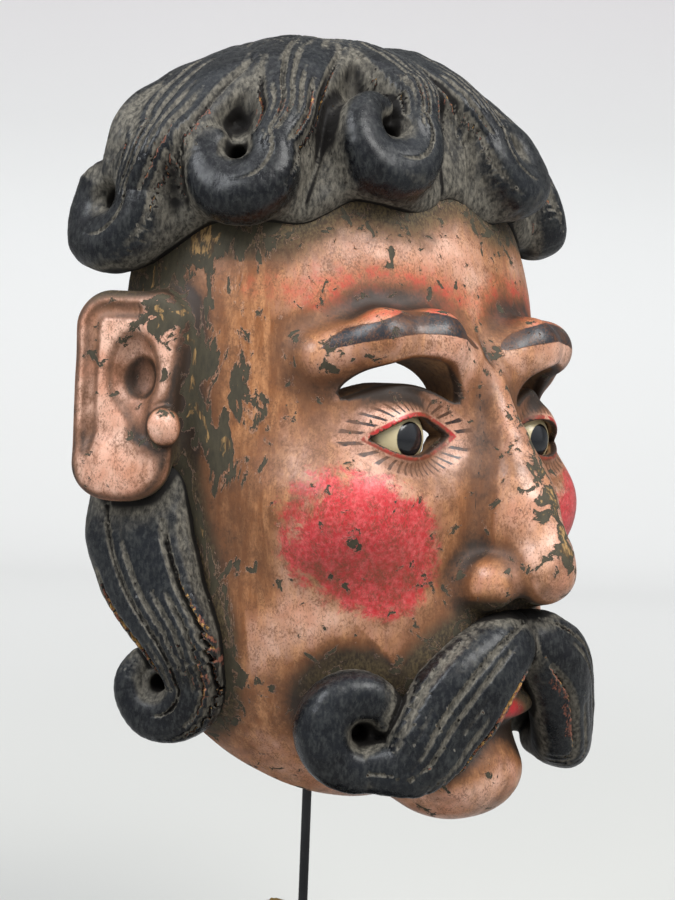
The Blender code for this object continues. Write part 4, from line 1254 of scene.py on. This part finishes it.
def side_box(side, low, high):
    """A box given for the +X side, mirrored for the other."""
    if side > 0:
        return low, high
    return (-high[0], low[1], low[2]), (-low[0], high[1], high[2])


def carve_flesh(name, field, low, high, material, node, voxel=VOXEL):
    carved(name, field, face_skin, low, high, material, "flesh_paint", node, voxel)


def carve_hair(name, field, outer, low, high, material, node):
    carved(name, field, outer, low, high, material, "hair_paint", node)


def build_mask(flesh, hair):
    carve_flesh("painted_face", shell_field, (-88, -106, -6), (88, 13, 250), flesh, "face_shell")
    carve_flesh("painted_nose", nose_field, (-28, -118, 64), (28, -66, 152), flesh, "nose_block",
                VOXEL * 0.75)
    carve_hair("carved_crown", crown_field, hair_skin, (-96, -90, 168), (96, 14, 254), hair,
               "hair_crown")
    for name, side in SIDES.items():
        build_side(name, side, flesh, hair)


def build_side(name, side, flesh, hair):
    """The ear, locks, half moustache and whisker of one side."""
    low, high = side_box(side, (66, -30, EAR_H - 39), (106, 24, EAR_H + 37))
    carve_flesh(f"painted_ear_{name}", ear_field(side), low, high, flesh, f"ear_{name}", VOXEL * 0.8)
    for lock, stroke in LOCK_STROKES.items():
        low, high = side_box(side, np.maximum(stroke.low - 2, MIDDLE_LOW), stroke.high + 2)
        carve_hair(f"carved_lock_{lock}_{name}", lock_field(lock, side), hair_skin, low, high, hair,
                   f"hair_lock_{lock}_{name}")
    low, high = side_box(side, np.maximum(MOUSTACHE.low, MIDDLE_LOW), MOUSTACHE.high)
    carve_hair(f"carved_moustache_{name}", glued_on(moustache_mass, side), moustache_mass, low, high,
               hair, f"moustache_{name}")
    low, high = side_box(side, WHISKER.low, WHISKER.high)
    carve_hair(f"carved_whisker_{name}", glued_on(whisker_mass, side), whisker_mass, low, high, hair,
               f"sideburn_{name}")


def eye_field(side):
    def field(p):
        d = lump(p, (side * EYE_X, EYE_Y, EYE_H), (EYE_RADIUS,) * 3)
        u = np.hypot(p[0] - side * EYE_X, p[2] - EYE_H)
        iris = clamp01((5.6 - u) / 0.5) * 0.25
        d = d - iris * (p[1] < EYE_Y)
        return carve(d, EYE_Y + 4 - p[1], 0.6)

    return field


def build_eyes(material):
    for name, side in SIDES.items():
        reach = EYE_RADIUS + 2
        low = (side * EYE_X - reach, EYE_Y - reach, EYE_H - reach)
        high = (side * EYE_X + reach, EYE_Y + 6, EYE_H + reach)
        points, quads = largest_part(*skin(eye_field(side), low, high, 0.5))
        mesh = make_mesh(f"painted_eye_{name}", points, quads)
        u, v = eye_plane(columns(points))
        put(mesh, "eye_far", np.hypot(u - 0.6, v))
        put(mesh, "back", clamp01((points[:, 1] - EYE_Y - 1) / 2))
        show(f"painted_eye_{name}", mesh, "mask", material, "eye_paint", f"eye_{name}")


def dress_stand(frame, finishes):
    """Gives each CAD piece that stays as it is its worked-up material."""
    slots = {s["node"]: s["material_slot"] for s in frame["record"]["subparts"]}
    for node, obj in frame["nodes"].items():
        if slots[node] in finishes:
            obj.data.materials.clear()
            obj.data.materials.append(finishes[slots[node]])


# --- Stage -----------------------------------------------------------------------------------


SWEEP_HALF_WIDTH = 8.0
SWEEP_BEND = 0.6  # radius of the curve from floor to wall
SWEEP_BACK = 1.6  # where the curve starts, behind the object


def sweep_mesh():
    """Floor, curve and wall in one sheet, square to the camera's line of sight."""
    outline = [(-8.0, 0.0)]
    for angle in np.radians(np.linspace(0, 90, 13)):
        rise = SWEEP_BEND * (1 - np.cos(angle))
        outline.append((SWEEP_BACK + SWEEP_BEND * np.sin(angle), rise))
    outline.append((SWEEP_BACK + SWEEP_BEND, 5.0))
    turn = np.radians(CAMERA_AZIMUTH)
    forward = Vector((-np.sin(turn), np.cos(turn), 0))
    across = Vector((forward.y, -forward.x, 0))
    vertices, faces = [], []
    for run, rise in outline:
        for side in (-SWEEP_HALF_WIDTH, SWEEP_HALF_WIDTH):
            vertices.append(forward * run + across * side + Vector((0, 0, rise)))
    for a in range(0, 2 * len(outline) - 2, 2):
        faces.append((a, a + 1, a + 3, a + 2))
    mesh = bpy.data.meshes.new("sweep")
    mesh.from_pydata(vertices, [], faces)
    mesh.shade_smooth()
    return mesh


def pale_paper():
    """The sheet's paper, with painted shadow darkening it a little round the object and painted shade
    up the wall.
    """
    n = Nodes("pale_paper")
    split = n.new("ShaderNodeSeparateXYZ")
    n.link(n.place, split.inputs[0])
    height = split.outputs["Z"]
    away = n.new("ShaderNodeVectorMath", operation="LENGTH")
    n.link(n.place, away.inputs[0])
    # Painted shadow on the floor round the object, brightest low on the wall, and painted shade with a
    # pink tint towards the top.
    rise = n.mix(n.step(away.outputs["Value"], 0.2, 1.6), (0.53, 0.53, 0.51), (0.775, 0.772, 0.755))
    rise = n.mix(n.step(height, 0.05, 0.5), rise, (0.86, 0.86, 0.85))
    rise = n.mix(n.step(height, 0.45, 1.0), rise, (0.77, 0.735, 0.745))
    shade = n.new("ShaderNodeMix", data_type="RGBA", blend_type="MULTIPLY")
    n.link(1.0, shade.inputs[0])
    n.link(n.mix(n.noise(700, 2.0), (0.97, 0.97, 0.95), (1.0, 1.0, 0.99)), shade.inputs[6])
    n.link(rise, shade.inputs[7])
    # Painted light: the sheet glows faintly for the camera and shows it a brighter colour than the grey
    # it throws back up, so that undersides stay dark.
    seen = n.new("ShaderNodeLightPath").outputs["Is Camera Ray"]
    n.link(shade.outputs[2], n.shader.inputs["Emission Color"])
    n.link(n.mul(seen, 0.17), n.shader.inputs["Emission Strength"])
    return n.finish(n.mix(seen, (0.34, 0.34, 0.33), shade.outputs[2]), 0.9)


def stage_floor():
    mesh = sweep_mesh()
    mesh.materials.append(pale_paper())
    floor = bpy.data.objects.new("sweep", mesh)
    bpy.context.scene.collection.objects.link(floor)
    floor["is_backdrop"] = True


def aimed(name, data, azimuth, elevation, distance):
    """Puts a camera or a light round the target, in degrees from the front, and points it there."""
    a, e = np.radians(azimuth), np.radians(elevation)
    away = Vector((np.sin(a) * np.cos(e), -np.cos(a) * np.cos(e), np.sin(e)))
    obj = bpy.data.objects.new(name, data)
    obj.location = CAMERA_TARGET + away * distance
    obj.rotation_euler = (-away).to_track_quat("-Z", "Y").to_euler()
    bpy.context.scene.collection.objects.link(obj)
    return obj


def place_camera():
    camera = bpy.data.cameras.new("camera")
    camera.sensor_fit = "VERTICAL"
    camera.angle = 2 * np.arctan(FRAME_HEIGHT / 2 / CAMERA_DISTANCE)
    camera.clip_start = 0.01
    obj = aimed("camera", camera, CAMERA_AZIMUTH, CAMERA_ELEVATION, CAMERA_DISTANCE)
    obj.rotation_euler.rotate_axis("Z", np.radians(CAMERA_ROLL))
    bpy.context.scene.camera = obj


def add_light(name, azimuth, elevation, size, power, colour):
    light = bpy.data.lights.new(name, "AREA")
    light.shape = "RECTANGLE"
    light.size, light.size_y = size
    light.energy = power
    light.color = colour
    aimed(name, light, azimuth, elevation, LIGHT_DISTANCE)


def light_stage():
    world = bpy.data.worlds.new("studio")
    world.use_nodes = True
    tree = world.node_tree
    background = tree.nodes["Background"]
    # The room is brighter overhead than at the floor.
    direction = tree.nodes.new("ShaderNodeTexCoord")
    split = tree.nodes.new("ShaderNodeSeparateXYZ")
    tree.links.new(direction.outputs["Generated"], split.inputs[0])
    rise = tree.nodes.new("ShaderNodeMapRange")
    for index, value in enumerate((-0.3, 1.0, 0.3, 1.4), start=1):
        rise.inputs[index].default_value = value
    tree.links.new(split.outputs["Z"], rise.inputs[0])
    tree.links.new(rise.outputs[0], background.inputs["Strength"])
    background.inputs["Color"].default_value = (0.93, 0.95, 1.0, 1.0)
    bpy.context.scene.world = world
    add_light("key", -2, 46, (0.8, 0.5), 12, (1.0, 0.99, 0.97))
    add_light("fill", -100, 42, (0.6, 0.6), 9, (0.93, 0.96, 1.0))
    bpy.context.scene.view_settings.view_transform = "Standard"


def write_sizes(cad_box):
    """Turns the CAD box and the visible box into lists of numbers, which it does not keep."""
    for name, box in (("cad", cad_box), ("visual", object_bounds())):
        [[float(v) for v in corner] for corner in box]


def main():
    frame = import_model()
    cad_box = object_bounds()
    flesh, hair = flesh_paint(), hair_paint()
    build_mask(flesh, hair)
    build_eyes(eye_paint())
    finishes = {
        "black_steel": black_steel(),
        "brass": brass(),
        "rubber": rubber(),
        "felt": felt(),
        "cord": cord(),
        "bare_wood": plain_wood(),
    }
    dress_stand(frame, finishes)
    stage_floor()
    place_camera()
    light_stage()
    write_sizes(cad_box)


main()
